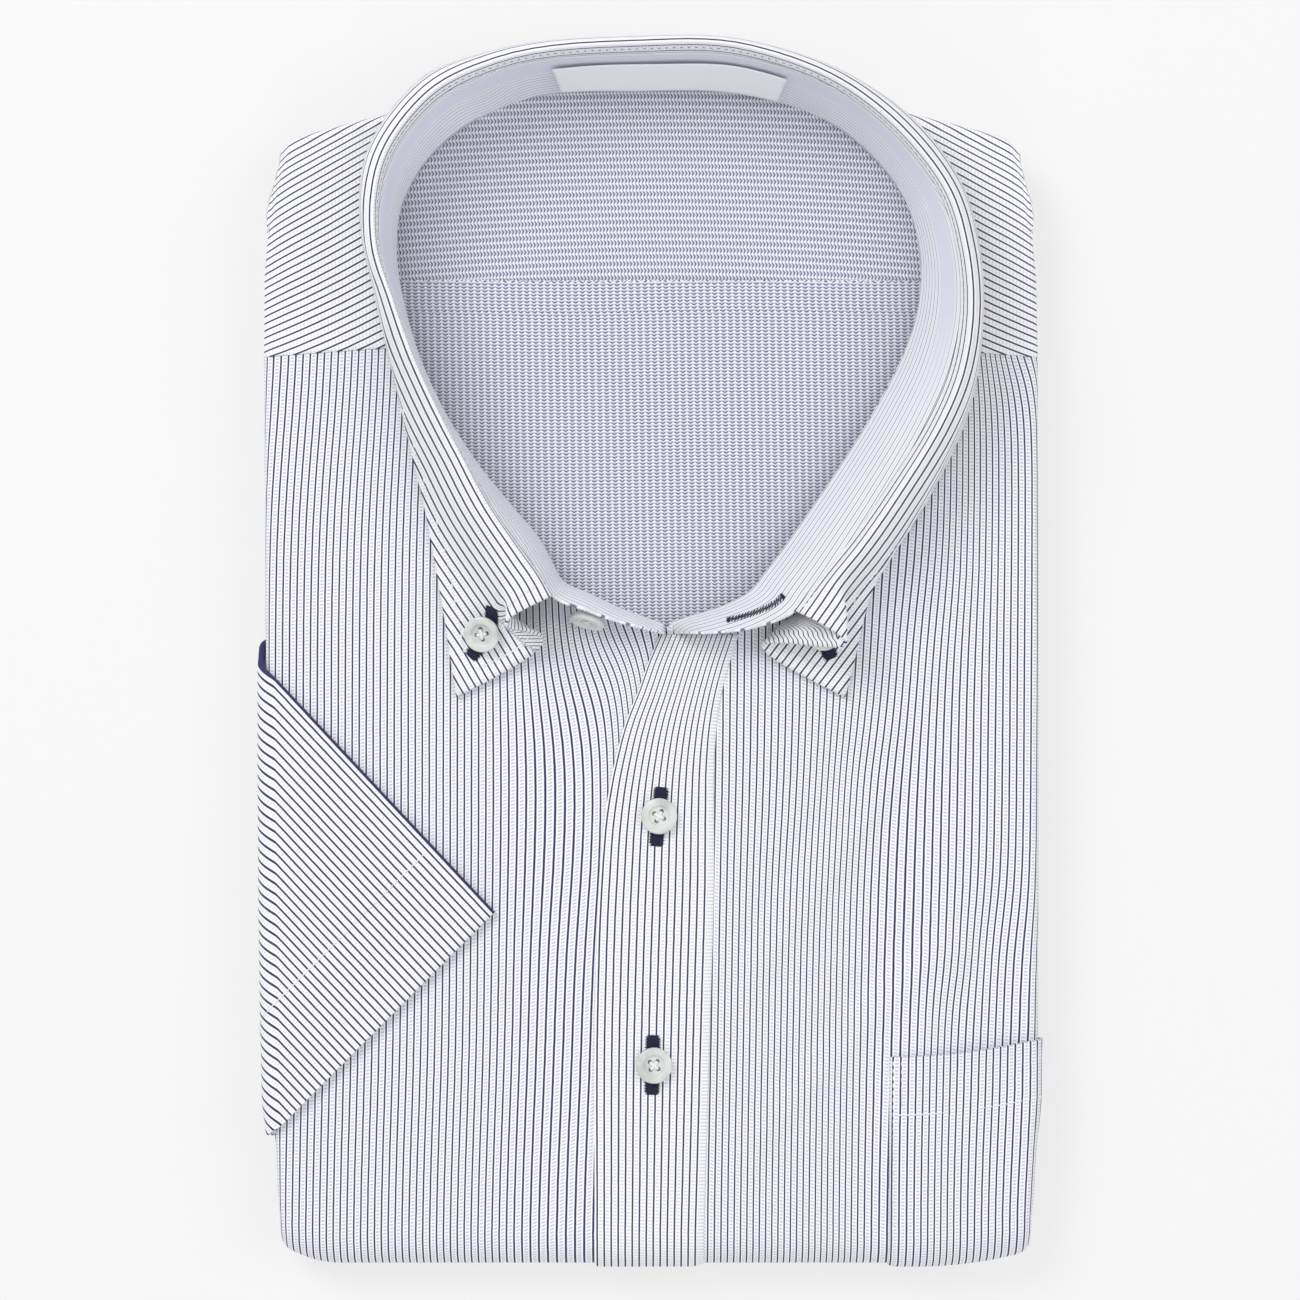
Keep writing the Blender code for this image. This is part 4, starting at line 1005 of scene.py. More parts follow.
@dataclass
class Yoke:
    """The yoke: a lobe over each shoulder, and the ply that shows inside the neck."""

    pack: Pack
    neck_y: float = 167.0
    under_y: float = 148.0
    top_y: float = 158.0
    under_rows: int = 6
    slope_low: float = 0.54
    slope_high: float = 0.78

    def lobe(self, side: Side) -> GridSurface:
        """Work out one lobe.

        Args:
            side: The wearer's side.

        Returns:
            Its surface, from the front seam up the shoulder, round its fold and a little way under.
        """
        pack = self.pack
        shares = np.linspace(0.0, 1.0, 50)
        angles = np.linspace(0, math.pi, 14)[1:]
        share = np.concatenate([shares, np.ones(len(angles) + self.under_rows)])
        nominal = pack.front_top + share * (self.top_y - pack.front_top)
        edge = pack.edge(side, nominal)
        neck_y = pack.yoke_seam_y + share * (self.neck_y - pack.yoke_seam_y)
        inner = pack.neck_side(side, neck_y) + side.value * pack.gap
        flat = np.linspace(0.0, 1.0, 40, endpoint=False)
        bend = np.linspace(0, math.pi, 12)
        x, depth = pack.rolled(inner, edge, flat, bend, 2)
        rolled = (1.0 - ease(nominal, 122.0, 146.0))[:, None]
        last = len(flat)
        open_edge = edge[:, None] - side.value * np.linspace(pack.lip_r, 0.0, x.shape[1] - last)
        x[:, last:] = rolled * x[:, last:] + (1 - rolled) * open_edge
        low = pack.yoke_seam(x)
        high = pack.shoulder(x) - pack.shoulder_r
        fold_top = pack.face(x, high)
        y = low + share[:, None] * (high - low)
        z = pack.face(x, y) - rolled * depth + 0.45 * np.exp(-(y - low) / 1.6)
        count = len(shares)
        turn = np.concatenate([np.zeros(count), angles, np.full(self.under_rows, math.pi)])[:, None]
        under = np.linspace(0, 1, self.under_rows + 1)[1:]
        under = np.concatenate([np.zeros(count + len(angles)), under])[:, None]
        bent = turn > 0
        y = np.where(bent, high + pack.shoulder_r * np.sin(turn), y)
        z = np.where(bent, fold_top - pack.shoulder_r * (1 - np.cos(turn)), z)
        y = y + under * (self.under_y - y)
        points = np.stack([x, y, z], axis=-1)
        slope = self.slope_low + (self.slope_high - self.slope_low) * share[:, None]
        reach = np.abs(x) - 80.0
        across = 0.84 * (low + arc_lengths(points, 0) + slope * reach - 0.0016 * reach**2)
        return GridSurface(points, np.stack([across, x], axis=-1), side is Side.RIGHT)

    def inside(self) -> GridSurface:
        """Work out the ply inside the neck: columns run from its seam to just past the neck line."""
        pack = self.pack
        line = pack.neck_line(6)
        line = line[line[:, 1] > pack.inside_seam_y]
        outline = offset_outline(line, np.interp(np.abs(line[:, 0]), [58.0, 76.0], [1.6, 11.0]))
        order = np.maximum.accumulate(outline[:, 0])
        x = np.linspace(outline[0, 0], outline[-1, 0], 110)
        high = np.interp(x, order, outline[:, 1])
        share = np.linspace(0.0, 1.0, 60)[:, None]
        y = pack.inside_seam_y + share * (high - pack.inside_seam_y)[None, :]
        x = np.broadcast_to(x, y.shape)
        z = np.full_like(y, pack.inside_top) + 0.35 * np.exp(-(y - pack.inside_seam_y) / 1.2)
        bow = 0.00045 * np.square(x - 4.0)
        weave = np.stack([y + bow, x + 0.1 * y], axis=-1)
        return GridSurface(np.stack([x, y, z], axis=-1), weave, False)


@dataclass
class InsideBack:
    """The inside of the back, below the yoke's seam, with the seam's allowance turned down over it."""

    pack: Pack
    allowance: float = 10.0
    margin: float = 11.0
    columns: int = 110

    def surface(self) -> GridSurface:
        """Work out the panel: rows run between the two sides of the neck line, past it by a margin."""
        pack = self.pack
        y = np.concatenate([np.linspace(pack.inside_seam_y, 104.0, 30), np.linspace(103.0, 2.0, 60)])
        neck_y, margin = np.maximum(y, pack.neck_low_y), self.margin * ease(y, 4.0, 30.0)
        left = pack.neck_side(Side.RIGHT, neck_y) - margin
        right = pack.neck_side(Side.LEFT, neck_y) + margin
        share = np.linspace(0.0, 1.0, self.columns)
        x = left[:, None] + share * (right - left)[:, None]
        y = np.broadcast_to(y[:, None], x.shape)
        low = pack.inside_seam_y - self.allowance + 0.4 * np.sin(x / 21.0)
        strip = ease(y - low, -0.9, 0.9)
        z = pack.inside_top - 0.42 + 0.38 * strip + 0.12 * np.sin(x / 9.0 + y / 14.0) * ease(y, 20.0, 60.0)
        weave = np.stack([x + 0.02 * y + 0.4 * strip, -y + 0.3 * np.sin(x / 17.0)], axis=-1)
        return GridSurface(np.stack([x, y, z], axis=-1), weave, True)


@dataclass
class Sleeve:
    """The wearer's right sleeve, pressed flat, folded over the front and round the pack's edge."""

    pack: Pack
    fold_top: tuple[float, float] = (-123.0, -4.5)
    tip: tuple[float, float] = (-49.2, -83.2)
    hem_length: float = 101.0
    hem_angle: float = math.radians(225)
    thick: float = 2.4
    inner_r: float = 1.2
    turn_z: float = 14.2

    def wrap(self, unrolled: Array, y: Array, lift: Array) -> Array:
        """Lay the flat sleeve over the pack.

        Args:
            unrolled: The x of each point before the sleeve is wrapped.
            y: Its y.
            lift: Its distance out from the face nearest the pack.

        Returns:
            Points: past the edge's start the way goes round a quarter circle, down, and round a second.
        """
        pack = self.pack
        edge = pack.edge(Side.RIGHT, y)
        start = edge + pack.lip_r
        arc = np.maximum(start - unrolled, 0.0)
        outer, inner = pack.lip_r + pack.gap, self.inner_r
        high, low = pack.top - pack.lip_r, self.turn_z
        quarter = math.pi / 2
        first = np.clip(arc / (outer * quarter), 0, 1) * quarter
        left = arc - outer * quarter
        down = np.clip(left, 0, high - low)
        left = left - (high - low)
        second = np.clip(left / (inner * quarter), 0, 1) * quarter
        back = np.maximum(left - inner * quarter, 0)
        turn = first + second
        x = start - outer * np.sin(first) + inner * (1 - np.cos(second)) + back
        x = np.where(arc > 0, x, unrolled)
        z = high + outer * np.cos(first) - down - inner * np.sin(second)
        z = np.where(arc > 0, z, pack.face(unrolled, y) + pack.gap)
        return np.stack([x - lift * np.sin(turn), y, z + lift * np.cos(turn)], axis=-1)

    def surface(self) -> GridSurface:
        """Work out the tube: under ply, top fold and upper ply, open at the hem, with stripes along it."""
        tip = np.array(self.tip)
        run = unit(tip - np.array(self.fold_top))
        across = np.array([math.cos(self.hem_angle), math.sin(self.hem_angle)])
        radius = self.thick / 2
        flat = np.linspace(radius, self.hem_length, 90)
        turns = np.linspace(0, math.pi, 9)[1:-1]
        way = np.concatenate([flat[::-1], radius - radius * np.sin(turns), flat])
        lift = np.concatenate([0 * flat, radius - radius * np.cos(turns), 0 * flat + self.thick])
        hem = tip + way[:, None] * across
        edge = self.pack.edge(Side.RIGHT, hem[:, 1]) + self.pack.lip_r
        share = np.linspace(0.0, 1.0, 56, endpoint=False)
        on_top = np.maximum(hem[:, 0] - edge, 1.0)
        arcs = np.linspace(0.0, 16.0, 34) + 0.0 * edge[:, None]
        arcs = np.maximum(arcs, (edge - hem[:, 0] + on_top)[:, None] + 0.04 * np.arange(34))
        unrolled = np.concatenate([hem[:, :1] - share * on_top[:, None], edge[:, None] - arcs], axis=1)
        y = hem[:, 1:] + (unrolled - hem[:, :1]) * run[1] / run[0]
        swell = np.sin(np.clip(way / self.hem_length, 0, 1) * np.pi)[:, None]
        puff = 0.5 * ease(unrolled - hem[:, :1], 0.0, -20.0) * swell
        upper = (lift > radius)[:, None]
        lifted = lift[:, None] + np.where(upper, puff, 0.0)
        points = self.wrap(unrolled, y, lifted)
        signed = np.concatenate([-flat[::-1], 0 * turns, flat])[:, None]
        along = arc_lengths(points, 1)
        stripes = np.broadcast_to(signed + StripedKnit.pitch / 2, along.shape)
        return GridSurface(points, np.stack([stripes, along], axis=-1), False)


@dataclass
class Collar:
    """The collar: the stand on the neck seam, the leaf that falls from its crest, and the neck label."""

    pack: Pack
    seam: float = 0.17
    seam_gap: float = 0.006
    span: int = 7
    inside_columns: int = 12
    right_heading: float = math.radians(214)
    left_heading: float = math.radians(-39)
    roll_start: float = 0.24
    roll_end: float = 0.58
    roll_pitch: float = 1.35
    label_left: float = -28.0
    label_right: float = 40.5
    label_low: float = 0.10
    label_high: float = 0.66
    label_off: float = 1.3
    bow: float = 0.9

    def neck_points(self, plan: Array, crest: Array) -> Array:
        """Return the stand's lower edge, lifted where it leans so that its wall clears the neck."""
        pack = self.pack
        x, y = plan[:, 0], plan[:, 1]
        over = np.where(y > 150.0, ease(np.abs(x), 50.0, 58.0), 1.0)
        height = pack.inside_top + pack.gap + over * (pack.face(x, y) - pack.inside_top)
        reach = np.linalg.norm(crest[:, :2] - plan, axis=1)
        lean = reach / np.hypot(reach, crest[:, 2] - height)
        return np.column_stack([plan, height + pack.cloth * lean])

    def stand_rows(self, per_span: int) -> tuple[Array, Array]:
        """Return the stand's neck seam and top edge, from one front end to the other."""
        middle = [(row.neck_x, row.neck_y, row.crest_x, row.crest_y, row.crest_z) for row in COLLAR]
        line = smooth_through([*RIGHT_END, *middle, *LEFT_END], per_span)
        return self.neck_points(line[:, :2], line[:, 2:]), line[:, 2:]

    def stand(self) -> tuple[GridSurface, Array]:
        """Work out the stand: straight sections from the neck seam to below the crest, slightly bowed.

        Returns:
            Its surface, and how plain its inner face is at each point.
        """
        neck, crest = self.stand_rows(self.span)
        share = np.linspace(0.0, 1.0 - self.seam - self.seam_gap, 26)
        rise = crest - neck
        points = neck[:, None] + rise[:, None] * share[None, :, None]
        run = np.gradient(neck, axis=0)
        out = unit(np.cross(run, rise))
        bow = self.bow * np.sin(np.pi * share / share[-1])
        ends = np.arange(len(neck))
        quiet = ease(ends, 0, 20) * ease(len(neck) - 1 - ends, 0, 20) * ease(-neck[:, 1], -168.0, -140.0)
        points = points + out[:, None] * (bow[None, :] * quiet[:, None])[..., None]
        tuck = 0.3 + 5.0 * ease(neck[:, 1], 138.0, 150.0) * ease(np.abs(neck[:, 0]), 38.0, 50.0)
        below = points[:, :1] - tuck[:, None, None] * np.array([0.0, 0.0, 1.0])
        points = np.concatenate([below, points], axis=1)
        share = np.append(0.0, share)
        height = arc_lengths(points, 1)
        along = arc_lengths(points, 0)
        y = neck[:, 1]
        plain = ease(y, 62.0, 112.0)[:, None] * ease(share, 0.42, 0.54) * ease(-share, -0.80, -0.72)
        weave = np.stack([height + 0.3, along], axis=-1)
        return GridSurface(points, weave, True), np.broadcast_to(plain, height.shape)

    def leaf(self) -> GridSurface:
        """Work out the leaf: up inside to the crest, then a cubic down outside to its edge.

        Returns:
            Its surface. The crest is rounded by a moving mean along each section, and the stripes run
            along the collar, at equal ways from the crest.
        """
        rows = smooth_through(COLLAR, self.span)
        part = dict(zip(Section._fields, rows.T))
        crest = np.column_stack([part["crest_x"], part["crest_y"], part["crest_z"]])
        neck = self.neck_points(np.column_stack([part["neck_x"], part["neck_y"]]), crest)
        edge = np.column_stack([part["edge_x"], part["edge_y"], part["edge_z"]])
        way = unit(edge[:, :2] - crest[:, :2])
        away = np.column_stack([way, np.zeros(len(way))])
        beside = np.column_stack([way[:, 1], -way[:, 0], np.zeros(len(way))])
        up = np.array([0.0, 0.0, 1.0])
        leave = crest + away * part["roll"][:, None] + beside * part["roll_side"][:, None] + up
        arrive = edge - away * part["tuck"][:, None] + beside * part["tuck_side"][:, None]
        arrive = arrive + up * part["lift"][:, None]
        t = (np.linspace(0.0, 1.0, 74) ** 1.15)[None, :, None]
        neck, crest, leave, arrive, edge = (line[:, None] for line in (neck, crest, leave, arrive, edge))
        leaf = (1 - t) ** 3 * crest + 3 * (1 - t) ** 2 * t * leave
        leaf = leaf + 3 * (1 - t) * t**2 * arrive + t**3 * edge
        over = leaf[..., 1] < self.pack.shoulder(leaf[..., 0]) + 1.0
        lowest = self.pack.face(leaf[..., 0], leaf[..., 1]) + self.pack.cloth + 2 * self.pack.gap
        leaf[..., 2] = np.where(over, np.maximum(leaf[..., 2], lowest), leaf[..., 2])
        inside = np.linspace(self.seam, 0.0, self.inside_columns, endpoint=False)[None, :, None]
        points = np.concatenate([crest + (neck - crest) * inside, leaf], axis=1)
        points = self.rounded(points)
        weave = np.stack([self.stripe_ways(points) - 0.35, arc_lengths(points, 0)], axis=-1)
        return GridSurface(points, weave, True)

    def stripe_ways(self, points: Array) -> Array:
        """Work out the way across the leaf's stripes.

        Args:
            points: The leaf's grid.

        Returns:
            The way from the crest: the plan distance where the leaf slopes and the way itself where it
            stands. At the front points it is the plan distance, but the middle of the S-roll has a
            closer pitch of its own.
        """
        crest = self.inside_columns
        ways = arc_lengths(points, 1)
        ways = ways - ways[:, crest : crest + 1]
        share = ways / ways[:, -1:]
        run = np.gradient(points[:, crest, :2], axis=0)
        out = unit(np.column_stack([-run[:, 1], run[:, 0]]))
        rows = np.arange(len(points))
        ends = ((rows, self.right_heading), (rows[::-1], self.left_heading))
        for away, heading in ends:
            near = ease(-away, -24.0, -8.0)[:, None]
            out = out + near * (np.array([math.cos(heading), math.sin(heading)]) - out)
        plan = np.einsum("ijk,ik->ij", points[..., :2] - points[:, crest : crest + 1, :2], out)
        step, level = np.diff(ways, axis=1), np.diff(plan, axis=1)
        stands = ease(np.abs(np.diff(points[..., 2], axis=1)) / step, 0.93, 0.995)
        for away, _ in ends:
            stands = stands * ease(away, 20.0, 44.0)[:, None]
        stands[:, :crest] = 1.0
        across = np.cumsum(level + stands * (step - level), axis=1)
        across = np.concatenate([0 * across[:, :1], across], axis=1)
        across = across - across[:, crest : crest + 1]
        first = np.argmax(share > self.roll_start, axis=1)[:, None]
        leaving, way = (np.take_along_axis(values, first, axis=1) for values in (across, ways))
        rolled = (share > self.roll_start) & (share < self.roll_end)
        for away, _ in ends:
            pitched = rolled * ease(-away, -9.0, -3.0)[:, None]
            across = across + pitched * (leaving + self.roll_pitch * (ways - way) - across)
        return across

    def rounded(self, points: Array) -> Array:
        """Return the sections with their crest rounded: a few moving means, faded out away from it."""
        columns = np.arange(points.shape[1])
        share = hump(columns, self.inside_columns, 5.0)[None, :, None]
        share[:, 0] = 0.0
        for _ in range(14):
            mean = points.copy()
            mean[:, 1:-1] = (points[:, :-2] + 2 * points[:, 1:-1] + points[:, 2:]) / 4
            points = points + share * (mean - points)
        return points

    def label(self) -> GridSurface:
        """Work out the bare label on the stand's inner face, at the back, a little way off it."""
        neck, crest = self.stand_rows(12)
        rows = np.column_stack([neck, crest])
        at_back = (rows[:, 1] > 150) & (np.abs(rows[:, 0] - 6.0) < 60)
        rows = rows[at_back]
        x = np.linspace(self.label_left, self.label_right, 60)
        rows = np.column_stack([np.interp(x, rows[:, 0], rows[:, column]) for column in range(6)])
        neck, crest = rows[:, :3], rows[:, 3:]
        rise, run = crest - neck, np.gradient(neck, axis=0)
        inward = unit(np.cross(rise, run))
        inward *= -np.sign(inward[:, 1:2])
        share = np.linspace(self.label_low, self.label_high, 18)
        ripple = 0.25 * np.sin(x / 6.0)[:, None] * share + 0.2
        points = neck[:, None] + rise[:, None] * share[None, :, None]
        points = points + inward[:, None] * (self.label_off + ripple)[..., None]
        weave = np.stack([arc_lengths(points, 1), arc_lengths(points, 0)], axis=-1)
        return GridSurface(points, weave, True)


@dataclass
class Thread:
    """Machine stitching: short rounded stitches laid end to end along a line on the cloth."""

    material: bpy.types.Material
    length: float = 1.7
    pitch: float = 2.3
    width: float = 0.24
    height: float = 0.16

    def template(self) -> tuple[Array, Array]:
        """Return one stitch: two poles and three rings of six points, all in triangles."""
        rings, around = np.array([-0.62, 0.0, 0.62]), 6
        turn = np.arange(around) * 2 * math.pi / around
        radius = np.sqrt(1 - rings**2) ** 0.7
        body = np.stack([
            np.repeat(rings, around),
            (radius[:, None] * np.cos(turn)).ravel(),
            (radius[:, None] * np.sin(turn)).ravel(),
        ], axis=1)
        points = np.vstack([[-1.0, 0.0, 0.0], body, [1.0, 0.0, 0.0]])
        here, after = np.arange(around), (np.arange(around) + 1) % around
        first = np.stack([0 * here, 1 + after, 1 + here], axis=1)
        bands = []
        for low in (1, 1 + around):
            bands.append(np.stack([low + here, low + after, low + around + after], axis=1))
            bands.append(np.stack([low + here, low + around + after, low + around + here], axis=1))
        last = 1 + 2 * around
        final = np.stack([0 * here + last + around, last + here, last + after], axis=1)
        return points, np.vstack([first, *bands, final])

    def lay(
        self, name: str, centres: Array, along: Array, out: Array, lengths: float | Array
    ) -> bpy.types.Object:
        """Make one piece of many stitches.

        Args:
            name: The piece's name.
            centres: Where each stitch lies, in millimetres.
            along: The direction of each.
            out: The cloth's outward direction at each.
            lengths: How long each is.

        Returns:
            The piece. Each stitch is the template stretched to its length, width and height.
        """
        along = unit(along)
        beside = unit(np.cross(out, along))
        up = np.cross(along, beside)
        shape, faces = self.template()
        half = np.broadcast_to(np.asarray(lengths, float) / 2, len(centres))[:, None, None]
        points = (
            centres[:, None]
            + shape[None, :, :1] * half * along[:, None]
            + shape[None, :, 1:2] * self.width * beside[:, None]
            + shape[None, :, 2:] * self.height * up[:, None]
        )
        count = len(shape)
        every = faces[None] + count * np.arange(len(centres))[:, None, None]
        item = mesh_object(name, (points.reshape(-1, 3) + CENTRE) * MM, every.reshape(-1, 3), self.material)
        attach(item, "root")
        log.info("%s: %d stitches", name, len(centres))
        return item

    def run(self, name: str, points: Array, normals: Array, zigzag: float = 0.0) -> bpy.types.Object:
        """Stitch along a line.

        Args:
            name: The piece's name.
            points: The line's points, in millimetres.
            normals: The cloth's outward direction at each point.
            zigzag: How far to each side of the line the stitches lean.

        Returns:
            The piece, with one stitch for each pitch of the line.
        """
        way = arc_lengths(points, 0)
        count = max(2, int(way[-1] / self.pitch))
        at = (np.arange(count) + 0.5) * way[-1] / count
        step = self.length / 2

        def read(values: Array, places: Array) -> Array:
            """Return values along the line at the given ways."""
            return np.column_stack([np.interp(places, way, values[:, k]) for k in range(3)])

        along = read(points, at + step) - read(points, at - step)
        out = read(normals, at)
        centres = read(points, at) + 0.35 * self.height * out
        lean = np.where(np.arange(count) % 2, 1.0, -1.0)[:, None]
        along = along + np.cross(out, unit(along)) * lean * zigzag * 2
        lengths = np.linalg.norm(along, axis=1).clip(0.5, 3 * self.length)
        return self.lay(name, centres, along, out, lengths)


@dataclass
class Buttonhole:
    """A worked buttonhole: close stitches across both sides of a slot, with a bar at each end."""

    thread: Thread
    wide: float = 4.2
    step: float = 0.32

    def work(self, name: str, line: Array, out: Array) -> bpy.types.Object:
        """Work the hole along a line.

        Args:
            name: The piece's name.
            line: The slot's points, in millimetres.
            out: The cloth's outward direction, at each point or for them all.

        Returns:
            The piece: two rows of stitches across the slot's sides and three bars at each end.
        """
        line = np.asarray(line, float)
        out = np.broadcast_to(np.asarray(out, float), line.shape)
        way = arc_lengths(line, 0)
        places = np.linspace(0.0, way[-1], max(4, int(way[-1] / self.step)))
        at, up = (
            np.column_stack([np.interp(places, way, part) for part in values.T]) for values in (line, out)
        )
        run = unit(np.gradient(at, axis=0))
        beside = np.cross(up, run)
        waver = 0.16 * np.sin(np.arange(len(at)) * 2.4)[:, None]
        slanted = beside + 0.6 * self.step * run
        centres = [at + beside * (0.2 * self.wide + waver), at - beside * (0.2 * self.wide - waver)]
        directions, normals = [slanted, slanted], [up, up]
        lengths = [np.full(2 * len(at), 0.84 * self.wide)]
        for tip, sign in ((0, -1.0), (-1, 1.0)):
            centres.append(at[tip] + sign * np.array([0.0, 0.35, 0.7])[:, None] * run[tip])
            directions.append(np.tile(beside[tip], (3, 1)))
            normals.append(np.tile(up[tip], (3, 1)))
            lengths.append(np.full(3, 1.1 * self.wide))
        normals = np.vstack(normals)
        centres = np.vstack(centres) + 0.22 * normals
        return self.thread.lay(name, centres, np.vstack(directions), normals, np.concatenate(lengths))


@dataclass
class Button:
    """A four-hole shirt button: a turned disc with a raised rim, a dished middle and sewn holes."""

    name: str
    place: Triple
    axis: Triple
    turn: float = 0.0
    radius: float = 5.75
    thick: float = 2.6
    hole_out: float = 1.75
    hole_r: float = 0.72

    def frame(self) -> Array:
        """Return the button's own directions: two across its face and its axis."""
        return np.array(Vector(self.axis).normalized().to_track_quat("Z", "Y").to_matrix())

    def holes(self) -> Array:
        """Return the middles of the four holes in the button's own plane."""
        angles = self.turn + math.pi / 4 + np.arange(4) * math.pi / 2
        return self.hole_out * np.column_stack([np.cos(angles), np.sin(angles)])

    def build(self, material: bpy.types.Material) -> bpy.types.Object:
        """Build the disc on a polar grid.

        Args:
            material: Its finish, which reads how deep in a hole a point is.

        Returns:
            The object. The face is a dish inside a rim, less a well at each hole.
        """
        half = self.thick / 2
        rim = 1 - 0.14 * np.linspace(1, 0, 8)[1:] ** 2
        top = np.concatenate([np.linspace(0.004, 0.62, 44), np.linspace(0.64, 0.86, 8), rim])
        edge = np.clip((top - 0.86) / 0.14, 0, 1)
        fall = 1 - np.sqrt(1 - np.square(edge * 0.999))
        face = half * (0.35 + 0.65 * ease(top, 0.44, 0.66) - 0.62 * fall)
        low = np.array([0.995, 0.97, 0.92, 0.85, 0.72, 0.5, 0.25, 0.004])
        under = half * np.array([0.15, -0.25, -0.6, -0.85, -0.97, -1.0, -1.0, -1.0])
        share, height = np.concatenate([top, low]), np.concatenate([face, under])
        around = 72
        angle = np.arange(around + 1) * 2 * math.pi / around
        x = self.radius * share[:, None] * np.cos(angle)
        y = self.radius * share[:, None] * np.sin(angle)
        deep = np.zeros_like(x)
        for hole in self.holes():
            away = np.hypot(x - hole[0], y - hole[1])
            deep = np.maximum(deep, ease(-away, -self.hole_r, -self.hole_r * 0.6))
        deep[len(top) :] = 0.0
        z = height[:, None] - 1.25 * half * deep
        local = np.stack([x, y, z], axis=-1)
        points = local @ self.frame().T + np.array(self.place)
        index = np.arange(len(share) * around).reshape(len(share), around)
        after = np.roll(index, -1, axis=1)
        corners = [index[:-1], index[1:], after[1:], after[:-1]]
        quads = np.stack([corner.ravel() for corner in corners], axis=1)
        points = (points[:, :-1].reshape(-1, 3) + CENTRE) * MM
        item = mesh_object(self.name + "_disc", points, quads, material)
        set_attribute(item, "deep", deep[:, :-1])
        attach(item, "root")
        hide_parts(self.name)
        log.info("%s: %.1f mm across", item.name, 2 * self.radius)
        return item

    def sew(self, thread: Thread) -> bpy.types.Object:
        """Sew the button on with two crossed runs of three threads between its holes."""
        holes = self.holes()
        ends = [(0, 2), (1, 3)] * 3
        shifts = [0.26, 0.26, 0.0, 0.0, -0.26, -0.26]
        starts = np.array([holes[a] for a, _ in ends])
        stops = np.array([holes[b] for _, b in ends])
        run = stops - starts
        side = unit(np.column_stack([-run[:, 1], run[:, 0]]))
        middle = (starts + stops) / 2 + side * np.array(shifts)[:, None]
        height = np.tile([0.46, 0.68], 3) * self.thick / 2
        turned = self.frame()
        centres = np.column_stack([middle, height]) @ turned.T + np.array(self.place)
        along = np.column_stack([run, np.zeros(len(run))]) @ turned.T
        out = np.tile(turned[:, 2], (len(run), 1))
        return thread.lay(self.name + "_thread", centres, along, out, np.linalg.norm(run, axis=1) + 0.5)


@dataclass(frozen=True)
class PearlResin:
    """The buttons' pearly white resin, with painted shade inside the holes."""

    name: str = "pearl_resin"
    white: Triple = (0.74, 0.75, 0.73)
    cloud: Triple = (0.56, 0.57, 0.55)
    shade: Triple = (0.24, 0.25, 0.28)

    def material(self) -> bpy.types.Material:
        """Return the resin's material, clouded by a soft noise."""
        sheet = ShaderSheet(self.name)
        cloud = sheet.eased(sheet.noise(0.006, 3.0), 0.35, 0.7)
        colour = sheet.mixed(cloud, self.white, self.cloud)
        # Painted shade: the colour darkens towards the shade colour the deeper a point lies in a hole.
        deep = sheet.node("ShaderNodeAttribute", attribute_name="deep").outputs["Fac"]
        colour = sheet.mixed(sheet.math("MULTIPLY", deep, 0.4), colour, self.shade)
        made = sheet.finish(colour, 0.22)
        sheet.shader.inputs["Specular IOR Level"].default_value = 0.5
        sheet.shader.inputs["Coat Weight"].default_value = 0.4
        return made


@dataclass(frozen=True)
class PlyStack:
    """The hidden plies' folded edges, seen from the side: pale cloth with fine lines up the stack."""

    name: str = "ply_stack"
    slant: float = 1.6

    def material(self) -> bpy.types.Material:
        """Return the plies' material: lines at each pitch of the height and of the way across."""
        sheet = ShaderSheet(self.name)
        split = sheet.node("ShaderNodeSeparateXYZ")
        sheet.tree.links.new(sheet.place(1.0 / MM), split.inputs[0])
        stripe = StripedKnit()
        slanted = sheet.math("MULTIPLY_ADD", split.outputs[2], self.slant, split.outputs[0])
        off = sheet.from_middle(sheet.repeat(slanted, stripe.pitch), stripe.pitch)
        colour = sheet.mixed(sheet.eased(off, 0.30, 0.14), stripe.rest, stripe.navy)
        return sheet.finish(colour, 0.92, sheet.noise(0.0011), 0.0001)


@dataclass(frozen=True)
class LitPaper:
    """The pale sheet under the shirt, lit a little from behind, so that shadows on it stay light."""

    name: str = "lit_paper"
    paper: Triple = (0.30, 0.30, 0.30)
    glow: Triple = (0.61, 0.61, 0.612)

    def material(self) -> bpy.types.Material:
        """Return the paper's material, with a faint grain."""
        sheet = ShaderSheet(self.name)
        grain = tuple(part * 0.99 for part in self.paper)
        made = sheet.finish(sheet.mixed(sheet.noise(0.02), grain, self.paper), 0.9)
        sheet.feed(sheet.shader.inputs["Emission Color"], self.glow)
        sheet.shader.inputs["Emission Strength"].default_value = 1.0
        return made


class Lamp(NamedTuple):
    """A square soft light that faces the shirt: its place and side in metres, its power in watts."""

    name: str
    place: Triple
    size: float
    power: float


